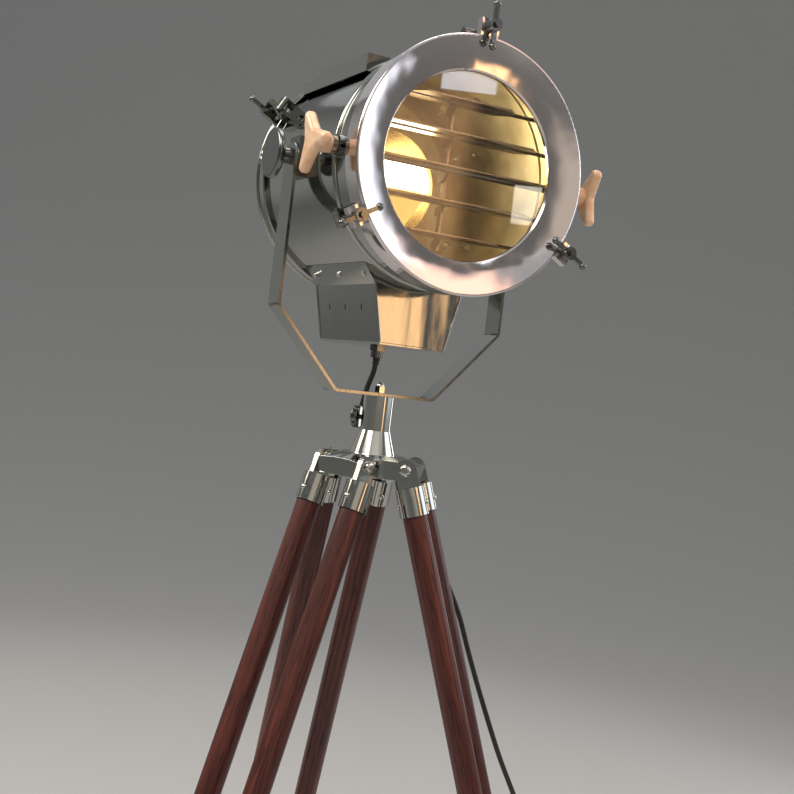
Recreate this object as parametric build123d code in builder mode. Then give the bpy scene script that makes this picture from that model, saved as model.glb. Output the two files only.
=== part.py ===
from math import asin, atan2, ceil, cos, pi, radians, sin, sqrt, tan
import os

from build123d import *

os.makedirs("parts", exist_ok=True)

# Tripod spotlight. Millimetres, +Z up, origin on the floor under the post.
# The head looks along -Y at rest and tilts about an axis along X.

# Clearances and cuts that several pieces share
fit_gap = 0.05
run_gap = 0.06
side_gap = 0.4
overrun = 6.0
hex_sides = 6

# Drum
pivot_height = 1380.0
drum_radius = 144.0
drum_wall = 1.5
drum_front = 152.0
drum_rear = 144.5
bead_radius = 4.0
bead_set = 54.0
bead_ahead = drum_front - bead_set
lamp_hole_width = 76.0
lamp_hole_length = 120.0

# Rear cover
cover_skirt = 24.0
cover_wall = 3.3
cover_step = 3.5
cover_lip = 4.5
cover_slope_run = 26.0
cover_flat_radius = drum_radius - cover_slope_run
cover_rise = 8.0
cover_crown = 4.0
cover_sheet = 2.5
cover_rim_radius = 2.5
cover_ring_radius = 1.8

# Bezel ring, glass and the ring that holds the glass
bezel_proud = 8.5
bezel_radius = drum_radius + bezel_proud
bezel_depth = 24.0
bezel_front = drum_front + bezel_depth
bezel_overlap = 6.0
bezel_round = 3.0
bezel_web = 4.0
bezel_land = 6.0
bezel_bore = drum_radius - bezel_land
bezel_dish = 6.7
opening_land = 26.5
opening_radius = bezel_bore - opening_land
opening_set = 11.0
opening_round = 2.0
glass_overlap = 7.5
glass_radius = opening_radius + glass_overlap
glass_thickness = 4.0
glass_ring_set = 2.5
glass_ring_inner = opening_radius + glass_ring_set
glass_ring_thickness = 2.0

# Louvre shutter
shutter_set = 27.0
shutter_ahead = drum_front - shutter_set
frame_depth = 6.5
frame_inner = drum_radius - drum_wall - frame_depth
slat_count = 5
slat_pitch_share = 0.2978
slat_pitch = slat_pitch_share * frame_inner
slat_lap = 1.5
slat_chord = slat_pitch + slat_lap
slat_thickness = 2.0
slat_bevel = 12.0
slat_ring_gap = 12.0
slat_rod_radius = 2.5
slat_rod_seat = 4.0
shaft_radius = 5.0
frame_width = 30.0
link_arm = 28.0
link_drop = 9.0
link_width = 8.0
link_thickness = 3.0
link_end = 6.0
link_pin_radius = 2.0
link_lug_thickness = 4.0
link_lug_round = 4.0
link_lug_root = 10.0

# Shutter bosses, collars and three-lobed knobs
boss_radius = 13.5
boss_stand = 12.0
boss_reach = drum_radius + boss_stand
collar_radius = 11.0
collar_length = 6.5
lobe_knob_hub_radius = 10.0
lobe_knob_flare_radius = 17.0
lobe_knob_left_length = 27.0
lobe_knob_right_length = 39.0
lobe_knob_thickness = 13.0
lobe_reach = 40.0
lobe_width = 13.0
lobe_root = 30.0
lobe_web = 8.0
lobe_round = 5.0
lobe_right_angle = 55.0
lobe_count = 3

# Trunnions and tilt-lock knobs
trunnion_width = 32.0
trunnion_height = 50.0
stud_radius = 6.0
stud_seat = 6.0
tilt_hub_radius = 10.0
tilt_hub_length = 17.0
tilt_disc_radius = 31.0
tilt_disc_thickness = 9.0
tilt_disc_round = 3.5

# Yoke, flat bar
yoke_room = 17.0
yoke_half_width = drum_radius + yoke_room
yoke_thickness = 4.0
yoke_bar = 34.0
yoke_top = 17.0
yoke_top_round = 14.0
yoke_slope_rise = 98.0
yoke_slope_run = 90.0
yoke_strap_half = yoke_half_width - yoke_slope_run
yoke_strap_room = 67.0
yoke_bend = 8.0

# Clamps with swing bolts and wing nuts
front_clamp_angles = (90.0, 210.0, 330.0)
rear_clamp_angles = (150.0, 30.0)
clamp_pin_rise = 19.0
clamp_pin_radius = 3.0
clamp_pin_head = 2.0
clamp_arm = 48.0
clevis_base_rise = 6.0
clevis_length = 18.0
clevis_width = 20.0
clevis_cheek = 5.0
clevis_round = 7.0
lug_reach = 9.0
lug_root = 18.0
lug_depth = 11.0
lug_width = 24.0
lug_slot_gap = 0.5
bolt_radius = 3.5
bolt_eye_radius = 7.0
bolt_tail = 4.0
nut_radius = 8.0
nut_length = 12.0
wing_reach = 25.0
wing_thickness = 5.0
wing_set = 8.0
wing_ball_radius = 4.5

# Vent hood: a box on each shoulder of the drum
hood_roof_share = 0.881
hood_roof_height = hood_roof_share * drum_radius
hood_rear_roof_share = 0.835
hood_rear_roof_height = hood_rear_roof_share * drum_radius
hood_width_share = 0.743
hood_half_width = hood_width_share * drum_radius
hood_skirt_share = 0.729
hood_skirt_height = hood_skirt_share * drum_radius
hood_sheet = 1.5
hood_front_set = 22.0
hood_front = bead_ahead - hood_front_set
hood_rear_gap = 2.5
hood_rear = drum_rear - cover_skirt - hood_rear_gap
hood_rear_length = 56.0
hood_step = hood_rear - hood_rear_length

# Lamp box, its plate, screws and cable gland
box_foot = 45.0
box_shoulder = 60.0
box_flange = 79.0
box_flange_stand = 0.5
box_flange_drop = sqrt((drum_radius + box_flange_stand) ** 2 - box_flange**2)
box_flange_fall = 24.0
box_shoulder_drop = box_flange_drop + box_flange_fall
box_depth = 70.0
box_drop = box_shoulder_drop + box_depth
box_top_set = 21.0
box_top_drop = box_flange_drop - box_top_set
box_front_set = 24.0
box_front = bead_ahead - box_front_set
box_rear_set = 38.5
box_rear = drum_rear - box_rear_set
box_wall = 2.0
box_lip = 7.0
box_slot_set = 28.0
box_slot_drop = box_shoulder_drop + box_slot_set
box_slot_width = 2.6
box_slot_height = 7.0
box_slot_pitch = 48.5
box_screw_radius = 3.6
box_screw_height = 2.2
box_screw_inset = 16.0
plate_thickness = 3.0
plate_lip = 1.5
gland_behind = 20.0
gland_radius = 7.0
gland_hex_radius = 11.5
gland_hex_height = 6.0
gland_nut_height = 4.0
gland_dome_radius = 9.0
gland_dome_height = 9.0

yoke_drop = box_drop + yoke_strap_room
yoke_corner_drop = yoke_drop - yoke_slope_rise

# Reflector, lamp socket and bulb
reflector_gap = 72.0
reflector_radius = drum_radius - reflector_gap
reflector_depth = 36.0
reflector_sheet = 1.5
reflector_set = 48.5
reflector_rear = drum_rear - reflector_set
reflector_stem_radius = 9.0
lamp_behind = 16.0
socket_base_radius = 22.0
socket_base_height = 4.0
socket_stem_radius = 7.0
socket_cup_radius = 21.0
socket_cup_height = 48.0
socket_cup_drop = 64.0
socket_bore_depth = 26.0
bulb_base_radius = 13.5
bulb_base_rise = 8.0
bulb_radius = 38.0
bulb_drop = 4.0
bulb_wall = 1.5
bulb_neck_angle = 55.0

# Post with its neck, pan bolt and pan-lock knob
post_radius = 19.6
post_length = 44.6
neck_ledge = 0.8
neck_top_radius = post_radius + neck_ledge
neck_flare = 9.6
neck_radius = neck_top_radius + neck_flare
neck_length = 30.0
pan_bolt_radius = 4.0
pan_bolt_depth = 26.0
acorn_radius = 7.0
acorn_height = 8.0
acorn_dome_radius = 5.5
pan_lock_angle = 132.0
pan_lock_share = 0.336
pan_lock_shank_radius = 3.0
pan_lock_shank_seat = 8.0
pan_lock_radius = 15.0
pan_lock_thickness = 9.0
pan_lock_stand = 3.0
pan_lock_round = 2.5

# Hub and hinge bolts
hub_height = 29.0
hub_shoulder = 10.0
hub_core_radius = neck_radius + hub_shoulder
hub_chamfer = 5.0
hub_fall = 9.0
arm_reach = 66.0
arm_width = 66.0
hinge_set = 14.0
hinge_reach = arm_reach - hinge_set
hinge_depth_share = 0.483
hinge_bolt_radius = 5.0
hinge_head_radius = 7.5
hinge_head_height = 5.0
hinge_head_round = 4.0

# Legs
leg_names = ("a", "b", "c")
first_leg_angle = 203.0
leg_splay = 18.2
ear_thickness = 7.0
ear_radius = 14.0
ferrule_wall = 1.7
ferrule_drop = 22.0
ferrule_length = 36.0
ferrule_floor = 4.0
rail_flats = 31.0
rail_sides = 8
rail_share = 0.593
collar_grip = 38.0
collar_hang = 32.0
collar_face = 2.2
collar_wall = 3.2
collar_round = 10.0
lower_room = 4.1
lower_depth = 24.0
lower_grip = 60.0
foot_wall = 4.0
foot_height = 42.0
foot_socket = 20.0
screw_radius = 4.0
screw_knob_radius = 14.0
screw_knob_thickness = 12.0
screw_knob_stand = 3.0
screw_knob_round = 2.5

# Cord, coil and plug
cord_radius = 3.5
coil_radius = 43.0
coil_gap = 0.8
coil_pitch = 2 * cord_radius + coil_gap
coil_layer_turns = 2
coil_extra_quarters = 1
coil_samples = 600
tail_run = 36.0
# The plug lies on the floor, level with the upper layer of the coil
plug_radius = cord_radius + coil_pitch
plug_width = 32.0
plug_corner = 8.0
plug_length = 34.0
plug_neck_radius = 6.0
plug_neck_length = 16.0
plug_cord_seat = 12.0
plug_pin_radius = 2.0
plug_pin_length = 19.0
plug_pin_spacing = 19.0
plug_pin_seat = 4.0
plug_round = 4.0

# Route of the cord, chosen by hand. Past the post: across and back, and shares of the way from hub top to gland
cord_drop_share = 0.816
cord_join_share = 0.444
cord_post_places = [(-4.4, 28), (-5.12, 40.6), (2.5, 45.5), (19, 45), (37, 36), (48, 24), (53, 21)]
cord_post_shares = [0.64, 0.375, 0.2316, 0.125, 0.0478, -0.0809, -0.2794]
# Beside leg c: across and back from the leg's middle line, with shares of the hinge's height
cord_leg_places = [
    (9.4, 66.7),
    (31.4, 53.7),
    (53.6, 45.1),
    (65.8, 61.2),
    (79.0, 69.1),
    (93.1, 82.7),
    (111.2, 97.4),
    (137.3, 121.6),
    (160.3, 151.4),
    (173.2, 188.9),
    (175.6, 234.7),
    (171.0, 287.7),
    (163.1, 348.7),
    (157.4, 421.0),
]
cord_leg_shares = [
    0.9356, 0.8979, 0.8305, 0.7502, 0.6705, 0.6174, 0.5689,
    0.4975, 0.4182, 0.331, 0.2418, 0.1566, 0.0813, 0.0297,
]
# On the floor: across and back from where leg c's middle line meets it
cord_floor_places = [(153.5, 493.0), (143.5, 557.0)]

head_plane = Plane.XY.offset(pivot_height)
head_axis = Axis((0, 0, pivot_height), (0, 1, 0))
sides = (-1, 1)


def along_y(radius, rear, front):
    # A round bar on the head's axis, from rear to front
    bar = Cylinder(radius, rear + front, mode=Mode.PRIVATE)
    return Pos(0, (rear - front) / 2, pivot_height) * Rot(90, 0, 0) * bar


def keep(part, name):
    part.label = name
    export_step(part, f"parts/{name}.step")


def clamp_plane(angle, ahead):
    # Clamp frame at the pivot pin: x outwards, y to the rear, z along the pin
    pin = drum_radius + clamp_pin_rise
    out = (cos(radians(angle)), 0, sin(radians(angle)))
    spot = (pin * out[0], -ahead, pivot_height + pin * out[2])
    return Plane(origin=spot, x_dir=out, z_dir=(-out[2], 0, out[0]))


def bends(points):
    # Fillet radii that keep each bend within the shorter of its two runs
    radii = []
    for a, b, c in zip(points, points[1:], points[2:]):
        run_in = b - a
        run_out = c - b
        half_turn = radians(run_in.get_angle(run_out)) / 2
        radii.append(bend_share * min(run_in.length, run_out.length) / tan(half_turn))
    return radii


bend_share = 0.45
drum_bore = drum_radius - drum_wall
cover_inner = drum_radius + fit_gap
cover_outer = cover_inner + cover_wall
cover_back = drum_rear + cover_step
front_pin_ahead = bezel_front - clamp_arm
rear_pin_ahead = clamp_arm - cover_back
boss_far = drum_radius / 2

# Drum: rolled tube with its bead, a lamp hole and shaft holes
with BuildPart() as drum:
    with BuildSketch(head_plane):
        with Locations((drum_radius - drum_wall / 2, (drum_rear - drum_front) / 2)):
            Rectangle(drum_wall, drum_rear + drum_front)
        with Locations((drum_radius - drum_wall / 2, -bead_ahead)):
            Circle(bead_radius)
    revolve(axis=head_axis)
    with Locations((0, lamp_behind, pivot_height - drum_radius)):
        Box(lamp_hole_width, lamp_hole_length, drum_radius, mode=Mode.SUBTRACT)
    with Locations(Location((0, -shutter_ahead, pivot_height), (0, 90, 0))):
        Cylinder(shaft_radius + side_gap, 2 * (drum_radius + overrun), mode=Mode.SUBTRACT)
keep(drum.part, "drum")

# Rear cover: skirt over the drum, domed back, rolled rims and two clamp lugs
with BuildPart() as rear_cover:
    with BuildSketch(head_plane):
        with BuildLine():
            Polyline(
                (cover_inner, drum_rear - cover_skirt),
                (cover_outer, drum_rear - cover_skirt),
                (cover_outer, cover_back),
                (cover_flat_radius, cover_back + cover_rise),
                (0, cover_back + cover_rise + cover_crown),
                (0, cover_back + cover_rise + cover_crown - cover_sheet),
                (cover_flat_radius, cover_back + cover_rise - cover_sheet),
                (drum_radius - cover_lip, drum_rear),
                (cover_inner, drum_rear),
                close=True,
            )
        make_face()
        with Locations((cover_outer, drum_rear)):
            Circle(cover_rim_radius)
        with Locations((cover_outer, drum_rear - cover_skirt + cover_ring_radius)):
            Circle(cover_ring_radius)
        with Locations((cover_inner - cover_rim_radius, (drum_rear - cover_skirt) / 2)):
            Rectangle(2 * cover_rim_radius, drum_rear + cover_skirt, mode=Mode.SUBTRACT)
    revolve(axis=head_axis)
    for angle in rear_clamp_angles:
        with BuildSketch(clamp_plane(angle, rear_pin_ahead)):
            Circle(clamp_arm)
            with Locations(((lug_reach - lug_root) / 2, clamp_arm - lug_depth / 2)):
                Rectangle(lug_reach + lug_root, lug_depth, mode=Mode.INTERSECT)
        extrude(amount=lug_width / 2, both=True)
        with BuildSketch(clamp_plane(angle, rear_pin_ahead)):
            with Locations((lug_reach / 2 - (bolt_radius + 2 * lug_slot_gap) / 2 + overrun / 2, clamp_arm)):
                Rectangle(lug_reach + bolt_radius + 2 * lug_slot_gap + overrun, 3 * lug_depth)
        extrude(amount=bolt_radius + lug_slot_gap, both=True, mode=Mode.SUBTRACT)
    add(along_y(cover_inner, drum_rear, drum_front), mode=Mode.SUBTRACT)
keep(rear_cover.part, "rear_cover")

# Bezel ring: cast, dished front, seat for the glass and three clamp lugs
glass_rear = drum_front + bezel_web
glass_front = glass_rear + glass_thickness
dish_middle = (bezel_radius - bezel_round + opening_radius + opening_round) / 2
with BuildPart() as bezel_ring:
    with BuildSketch(head_plane):
        with BuildLine():
            Polyline(
                (opening_radius + opening_round, -bezel_front + opening_set),
                (opening_radius, -bezel_front + opening_set + opening_round),
                (opening_radius, -glass_front),
                (glass_radius + side_gap, -glass_front),
                (glass_radius + side_gap, -glass_rear),
                (bezel_bore, -glass_rear),
                (bezel_bore, -drum_front),
                (cover_inner, -drum_front),
                (cover_inner, -drum_front + bezel_overlap),
                (bezel_radius, -drum_front + bezel_overlap),
                (bezel_radius, -bezel_front + bezel_round),
            )
            ThreePointArc(
                (bezel_radius, -bezel_front + bezel_round),
                (
                    bezel_radius - bezel_round * (1 - cos(radians(45))),
                    -bezel_front + bezel_round * (1 - sin(radians(45))),
                ),
                (bezel_radius - bezel_round, -bezel_front),
            )
            ThreePointArc(
                (bezel_radius - bezel_round, -bezel_front),
                (dish_middle, -bezel_front + bezel_dish),
                (opening_radius + opening_round, -bezel_front + opening_set),
            )
        make_face()
    revolve(axis=head_axis)
    for angle in front_clamp_angles:
        with BuildSketch(clamp_plane(angle, front_pin_ahead)):
            Circle(clamp_arm)
            with Locations(((lug_reach - lug_root) / 2, -clamp_arm + lug_depth / 2)):
                Rectangle(lug_reach + lug_root, lug_depth, mode=Mode.INTERSECT)
        extrude(amount=lug_width / 2, both=True)
        with BuildSketch(clamp_plane(angle, front_pin_ahead)):
            with Locations((lug_reach / 2 - (bolt_radius + 2 * lug_slot_gap) / 2 + overrun / 2, -clamp_arm)):
                Rectangle(lug_reach + bolt_radius + 2 * lug_slot_gap + overrun, 3 * lug_depth)
        extrude(amount=bolt_radius + lug_slot_gap, both=True, mode=Mode.SUBTRACT)
keep(bezel_ring.part, "bezel_ring")

with BuildPart() as glass:
    add(along_y(glass_radius, -glass_rear, glass_front))
keep(glass.part, "glass")

with BuildPart() as glass_ring:
    with BuildSketch(head_plane):
        with Locations(((glass_ring_inner + bezel_bore) / 2, -glass_rear + glass_ring_thickness / 2)):
            Rectangle(bezel_bore - fit_gap - glass_ring_inner, glass_ring_thickness)
    revolve(axis=head_axis)
keep(glass_ring.part, "glass_ring")

# Shutter frame: ring with a bearing hole for each slat's rod
slat_rises = [slat_pitch * (slat_count // 2 - number) for number in range(slat_count)]
with BuildPart() as shutter_frame:
    with BuildSketch(head_plane):
        with Locations(((frame_inner + drum_bore) / 2, -shutter_ahead)):
            Rectangle(drum_bore - fit_gap - frame_inner, frame_width)
    revolve(axis=head_axis)
    for rise in slat_rises:
        hole = (slat_rod_radius if rise else shaft_radius) + run_gap
        with Locations(Location((0, -shutter_ahead, pivot_height + rise), (0, 90, 0))):
            Cylinder(hole, 2 * (drum_radius + overrun), mode=Mode.SUBTRACT)
keep(shutter_frame.part, "shutter_frame")

# Slats: bevelled blade, rod or shaft, and a lug with a pin for the link bar
shaft_end = boss_reach + side_gap + collar_length + lobe_knob_left_length / 2
link_side = link_lug_thickness / 2 + side_gap + link_thickness
for number, rise in enumerate(slat_rises, start=1):
    blade_reach = frame_inner - slat_ring_gap
    blade_half = sqrt(blade_reach**2 - (abs(rise) + slat_chord / 2) ** 2)
    rod_half = sqrt((frame_inner + slat_rod_seat) ** 2 - rise**2)
    centre = (0, -shutter_ahead, pivot_height + rise)
    link_plane = Plane(origin=centre, x_dir=(0, 1, 0), z_dir=(1, 0, 0))
    with BuildPart() as slat:
        with Locations(centre):
            Box(2 * blade_half, slat_chord, slat_thickness)
        chamfer(slat.edges().filter_by(Axis.Z), length=slat_bevel)
        with Locations(Location(centre, (0, 90, 0))):
            if rise:
                Cylinder(slat_rod_radius, 2 * rod_half)
            else:
                Cylinder(shaft_radius, 2 * shaft_end)
        if not rise:
            for side in sides:
                middle = side * (boss_reach + side_gap + collar_length / 2)
                with Locations(Location((middle, -shutter_ahead, pivot_height), (0, 90, 0))):
                    Cylinder(collar_radius, collar_length)
        with BuildSketch(link_plane):
            with BuildLine():
                Polyline(
                    (slat_chord / 2 - link_lug_root, slat_thickness / 2),
                    (slat_chord / 2, slat_thickness / 2),
                    (link_arm + link_lug_round, -link_drop + link_lug_round),
                    (link_arm + link_lug_round, -link_drop - link_lug_round),
                    (link_arm - link_lug_round, -link_drop - link_lug_round),
                    close=True,
                )
            make_face()
        extrude(amount=link_lug_thickness / 2, both=True)
        with BuildSketch(link_plane):
            with Locations((link_arm, -link_drop)):
                Circle(link_pin_radius)
        extrude(amount=link_side + link_pin_radius)
    keep(slat.part, f"slat_{number}")

with BuildPart() as link_bar:
    with Locations((link_side - link_thickness / 2, link_arm - shutter_ahead, pivot_height - link_drop)):
        Box(link_thickness, link_width, slat_rises[0] - slat_rises[-1] + 2 * link_end)
    for rise in slat_rises:
        spot = (link_side - link_thickness / 2, link_arm - shutter_ahead, pivot_height - link_drop + rise)
        with Locations(Location(spot, (0, 90, 0))):
            Cylinder(link_pin_radius + run_gap, 2 * link_thickness, mode=Mode.SUBTRACT)
keep(link_bar.part, "link_bar")

# Three-lobed knobs on both ends of the middle slat's shaft, the right one longer and turned
knob_near = boss_reach + side_gap + collar_length
knob_sides = [
    (-1, knob_near + lobe_knob_left_length, 0),
    (1, knob_near + lobe_knob_right_length, lobe_right_angle),
]
lobe_ring = lobe_reach - lobe_width / 2
lobe_outline = [
    (0, -lobe_root / 2),
    (lobe_ring, -lobe_width / 2),
    (lobe_ring, lobe_width / 2),
    (0, lobe_root / 2),
]
flare_edge = -shutter_ahead - lobe_knob_flare_radius + lobe_round
with BuildPart() as shutter_knobs:
    for side, knob_far, turn in knob_sides:
        lobe_plane = Plane(
            origin=(side * knob_far, -shutter_ahead, pivot_height), x_dir=(0, -1, 0), z_dir=(-side, 0, 0)
        )
        with BuildSketch(lobe_plane):
            with PolarLocations(0, lobe_count, start_angle=turn):
                Polygon(*lobe_outline, align=None)
            with PolarLocations(lobe_ring, lobe_count, start_angle=turn):
                Circle(lobe_width / 2)
            offset(amount=lobe_web)
            offset(amount=-lobe_web)
        extrude(amount=lobe_knob_thickness)
    fillet(shutter_knobs.faces().filter_by(Axis.X).edges(), radius=lobe_round)
    for side, knob_far, turn in knob_sides:
        with BuildSketch(head_plane):
            with BuildLine():
                Polyline(
                    (side * knob_near, -shutter_ahead),
                    (side * knob_near, -shutter_ahead - lobe_knob_hub_radius),
                    (side * (knob_far - lobe_knob_thickness), flare_edge),
                    (side * (knob_far - lobe_knob_thickness / 2), flare_edge),
                    (side * (knob_far - lobe_knob_thickness / 2), -shutter_ahead),
                    close=True,
                )
            make_face()
        revolve(axis=Axis((0, -shutter_ahead, pivot_height), (1, 0, 0)))
    with Locations(Location((0, -shutter_ahead, pivot_height), (0, 90, 0))):
        Cylinder(shaft_radius + fit_gap, 2 * (shaft_end + fit_gap), mode=Mode.SUBTRACT)
keep(shutter_knobs.part, "shutter_knobs")

# Bosses on the drum: two trunnion plates with their studs, two bearings for the shutter shaft
arm_inner = yoke_half_width - yoke_thickness
tilt_knob_near = yoke_half_width + side_gap
tilt_knob_far = tilt_knob_near + tilt_hub_length + tilt_disc_thickness
stud_end = tilt_knob_near + tilt_hub_length + stud_seat
with BuildPart() as drum_bosses:
    for side in sides:
        with Locations((side * (boss_far + arm_inner - side_gap) / 2, 0, pivot_height)):
            Box(arm_inner - side_gap - boss_far, trunnion_width, trunnion_height)
        bearing = (side * (boss_far + boss_reach) / 2, -shutter_ahead, pivot_height)
        with Locations(Location(bearing, (0, 90, 0))):
            Cylinder(boss_radius, boss_reach - boss_far)
        with Locations(Location((side * (boss_far + stud_end) / 2, 0, pivot_height), (0, 90, 0))):
            Cylinder(stud_radius, stud_end - boss_far)
    add(along_y(drum_radius + fit_gap, drum_rear, drum_front), mode=Mode.SUBTRACT)
    with Locations(Location((0, -shutter_ahead, pivot_height), (0, 90, 0))):
        Cylinder(shaft_radius + run_gap, 2 * (boss_reach + overrun), mode=Mode.SUBTRACT)
keep(drum_bosses.part, "drum_bosses")

# Tilt-lock knobs: a disc on a hub, screwed on the trunnion stud outside each arm
for side, name in zip(sides, ("tilt_knob_left", "tilt_knob_right")):
    with BuildPart() as tilt_knob:
        with BuildSketch(head_plane):
            with BuildLine():
                Polyline(
                    (side * tilt_knob_near, 0),
                    (side * tilt_knob_near, tilt_hub_radius),
                    (side * (tilt_knob_near + tilt_hub_length), tilt_hub_radius),
                    (side * (tilt_knob_near + tilt_hub_length), tilt_disc_radius),
                    (side * tilt_knob_far, tilt_disc_radius),
                    (side * tilt_knob_far, 0),
                    close=True,
                )
            make_face()
        revolve(axis=Axis((0, 0, pivot_height), (1, 0, 0)))
        rims = tilt_knob.edges().filter_by(GeomType.CIRCLE)
        fillet(rims.filter_by(lambda edge: edge.radius > tilt_hub_radius), radius=tilt_disc_round)
        with Locations(Location((0, 0, pivot_height), (0, 90, 0))):
            Cylinder(stud_radius + run_gap, 2 * (stud_end + side_gap), mode=Mode.SUBTRACT)
    keep(tilt_knob.part, name)

# Yoke: flat bar bent to a U, with a hole in each arm and one in the strap
bar_outside = [
    (-yoke_half_width, yoke_top),
    (-yoke_half_width, -yoke_corner_drop),
    (-yoke_strap_half, -yoke_drop),
    (yoke_strap_half, -yoke_drop),
    (yoke_half_width, -yoke_corner_drop),
    (yoke_half_width, yoke_top),
]
slope = atan2(yoke_drop - yoke_corner_drop, yoke_half_width - yoke_strap_half)
corner_set = yoke_thickness * tan((pi / 2 - slope) / 2)
strap_set = yoke_thickness * tan(slope / 2)
bar_inside = [
    (arm_inner, yoke_top),
    (arm_inner, -yoke_corner_drop + corner_set),
    (yoke_strap_half - strap_set, -yoke_drop + yoke_thickness),
    (-yoke_strap_half + strap_set, -yoke_drop + yoke_thickness),
    (-arm_inner, -yoke_corner_drop + corner_set),
    (-arm_inner, yoke_top),
]
with BuildPart() as yoke:
    with BuildSketch(Plane(origin=(0, 0, pivot_height), x_dir=(1, 0, 0), z_dir=(0, -1, 0))):
        with BuildLine():
            outer = FilletPolyline(*bar_outside, radius=yoke_bend)
            inner = FilletPolyline(*bar_inside, radius=yoke_bend - yoke_thickness)
            Line(outer @ 1, inner @ 0)
            Line(inner @ 1, outer @ 0)
        make_face()
    extrude(amount=yoke_bar / 2, both=True)
    arm_tops = yoke.edges().filter_by(Axis.X).filter_by(lambda edge: edge.center().Z > pivot_height)
    fillet(arm_tops, radius=yoke_top_round)
    with Locations(Location((0, 0, pivot_height), (0, 90, 0))):
        Cylinder(stud_radius + run_gap, 2 * (yoke_half_width + overrun), mode=Mode.SUBTRACT)
    with Locations((0, 0, pivot_height - yoke_drop)):
        Cylinder(pan_bolt_radius + run_gap, 2 * (yoke_thickness + overrun), mode=Mode.SUBTRACT)
keep(yoke.part, "yoke")

# Clamps: clevises on the drum, swing bolts and wing nuts
clamps = [(angle, front_pin_ahead, -1) for angle in front_clamp_angles]
clamps += [(angle, rear_pin_ahead, 1) for angle in rear_clamp_angles]
with BuildPart() as clamp_clevises:
    for angle, ahead, way in clamps:
        place = clamp_plane(angle, ahead)
        with BuildSketch(place):
            with Locations((-clamp_pin_rise, 0)):
                Rectangle(2 * clevis_base_rise, clevis_length)
        extrude(amount=clevis_width / 2, both=True)
        for side in sides:
            with BuildSketch(place.offset(side * (clevis_width - clevis_cheek) / 2)):
                Circle(clevis_round)
                with Locations((-clamp_pin_rise / 2, 0)):
                    Rectangle(clamp_pin_rise, 2 * clevis_round)
            extrude(amount=clevis_cheek / 2, both=True)
        with BuildSketch(place):
            Circle(clamp_pin_radius)
        extrude(amount=clevis_width / 2 + clamp_pin_head, both=True)
    add(along_y(drum_radius + fit_gap, drum_rear, drum_front), mode=Mode.SUBTRACT)
keep(clamp_clevises.part, "clamp_clevises")

eye_half = clevis_width / 2 - clevis_cheek - side_gap
nut_near = clamp_arm + side_gap
for number, (angle, ahead, way) in enumerate(clamps, start=1):
    place = clamp_plane(angle, ahead)
    along = Plane(origin=place.origin, x_dir=place.x_dir, z_dir=(0, way, 0))
    with BuildPart() as swing_bolt:
        with BuildSketch(place):
            Circle(bolt_eye_radius)
        extrude(amount=eye_half, both=True)
        with BuildSketch(along):
            Circle(bolt_radius)
        extrude(amount=nut_near + nut_length + bolt_tail)
        with BuildSketch(place):
            Circle(clamp_pin_radius + run_gap)
        extrude(amount=clevis_width, both=True, mode=Mode.SUBTRACT)
    keep(swing_bolt.part, f"swing_bolt_{number}")
    with BuildPart() as wing_nut:
        with BuildSketch(along.offset(nut_near)):
            Circle(nut_radius)
        extrude(amount=nut_length)
        with BuildSketch(along.offset(nut_near + wing_set - wing_thickness / 2)):
            Rectangle(2 * wing_reach, wing_thickness)
        extrude(amount=wing_thickness)
        for side in sides:
            ball = along.origin + along.z_dir * (nut_near + wing_set) + along.x_dir * (side * wing_reach)
            with Locations(Plane(origin=ball, x_dir=along.x_dir, z_dir=along.y_dir).location):
                Sphere(wing_ball_radius)
        with BuildSketch(along):
            Circle(bolt_radius + run_gap)
        extrude(amount=nut_near + nut_length + overrun, mode=Mode.SUBTRACT)
    keep(wing_nut.part, f"wing_nut_{number}")

# Vent hood: two boxes of folded sheet with an open gap along the foot, lower at the rear
hood_plane = Plane(origin=(0, 0, pivot_height), x_dir=(1, 0, 0), z_dir=(0, 1, 0))
with BuildPart() as vent_hood:
    for start, end, roof, inset in (
        (-hood_front, hood_step, hood_roof_height, 0),
        (hood_step - hood_sheet, hood_rear, hood_rear_roof_height, 0),
        (-hood_front + hood_sheet, hood_step - hood_sheet, hood_roof_height, hood_sheet),
        (hood_step - 2 * hood_sheet, hood_rear - hood_sheet, hood_rear_roof_height, hood_sheet),
    ):
        skirt_end = hood_skirt_height - (overrun if inset else 0)
        with BuildSketch(hood_plane.offset(start)):
            with Locations((0, inset - roof)):
                Rectangle(2 * (hood_half_width - inset), roof - inset - skirt_end, align=(Align.CENTER, Align.MIN))
        extrude(amount=end - start, mode=Mode.SUBTRACT if inset else Mode.ADD)
    add(along_y(drum_radius + fit_gap, drum_rear, drum_front), mode=Mode.SUBTRACT)
keep(vent_hood.part, "vent_hood")

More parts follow.
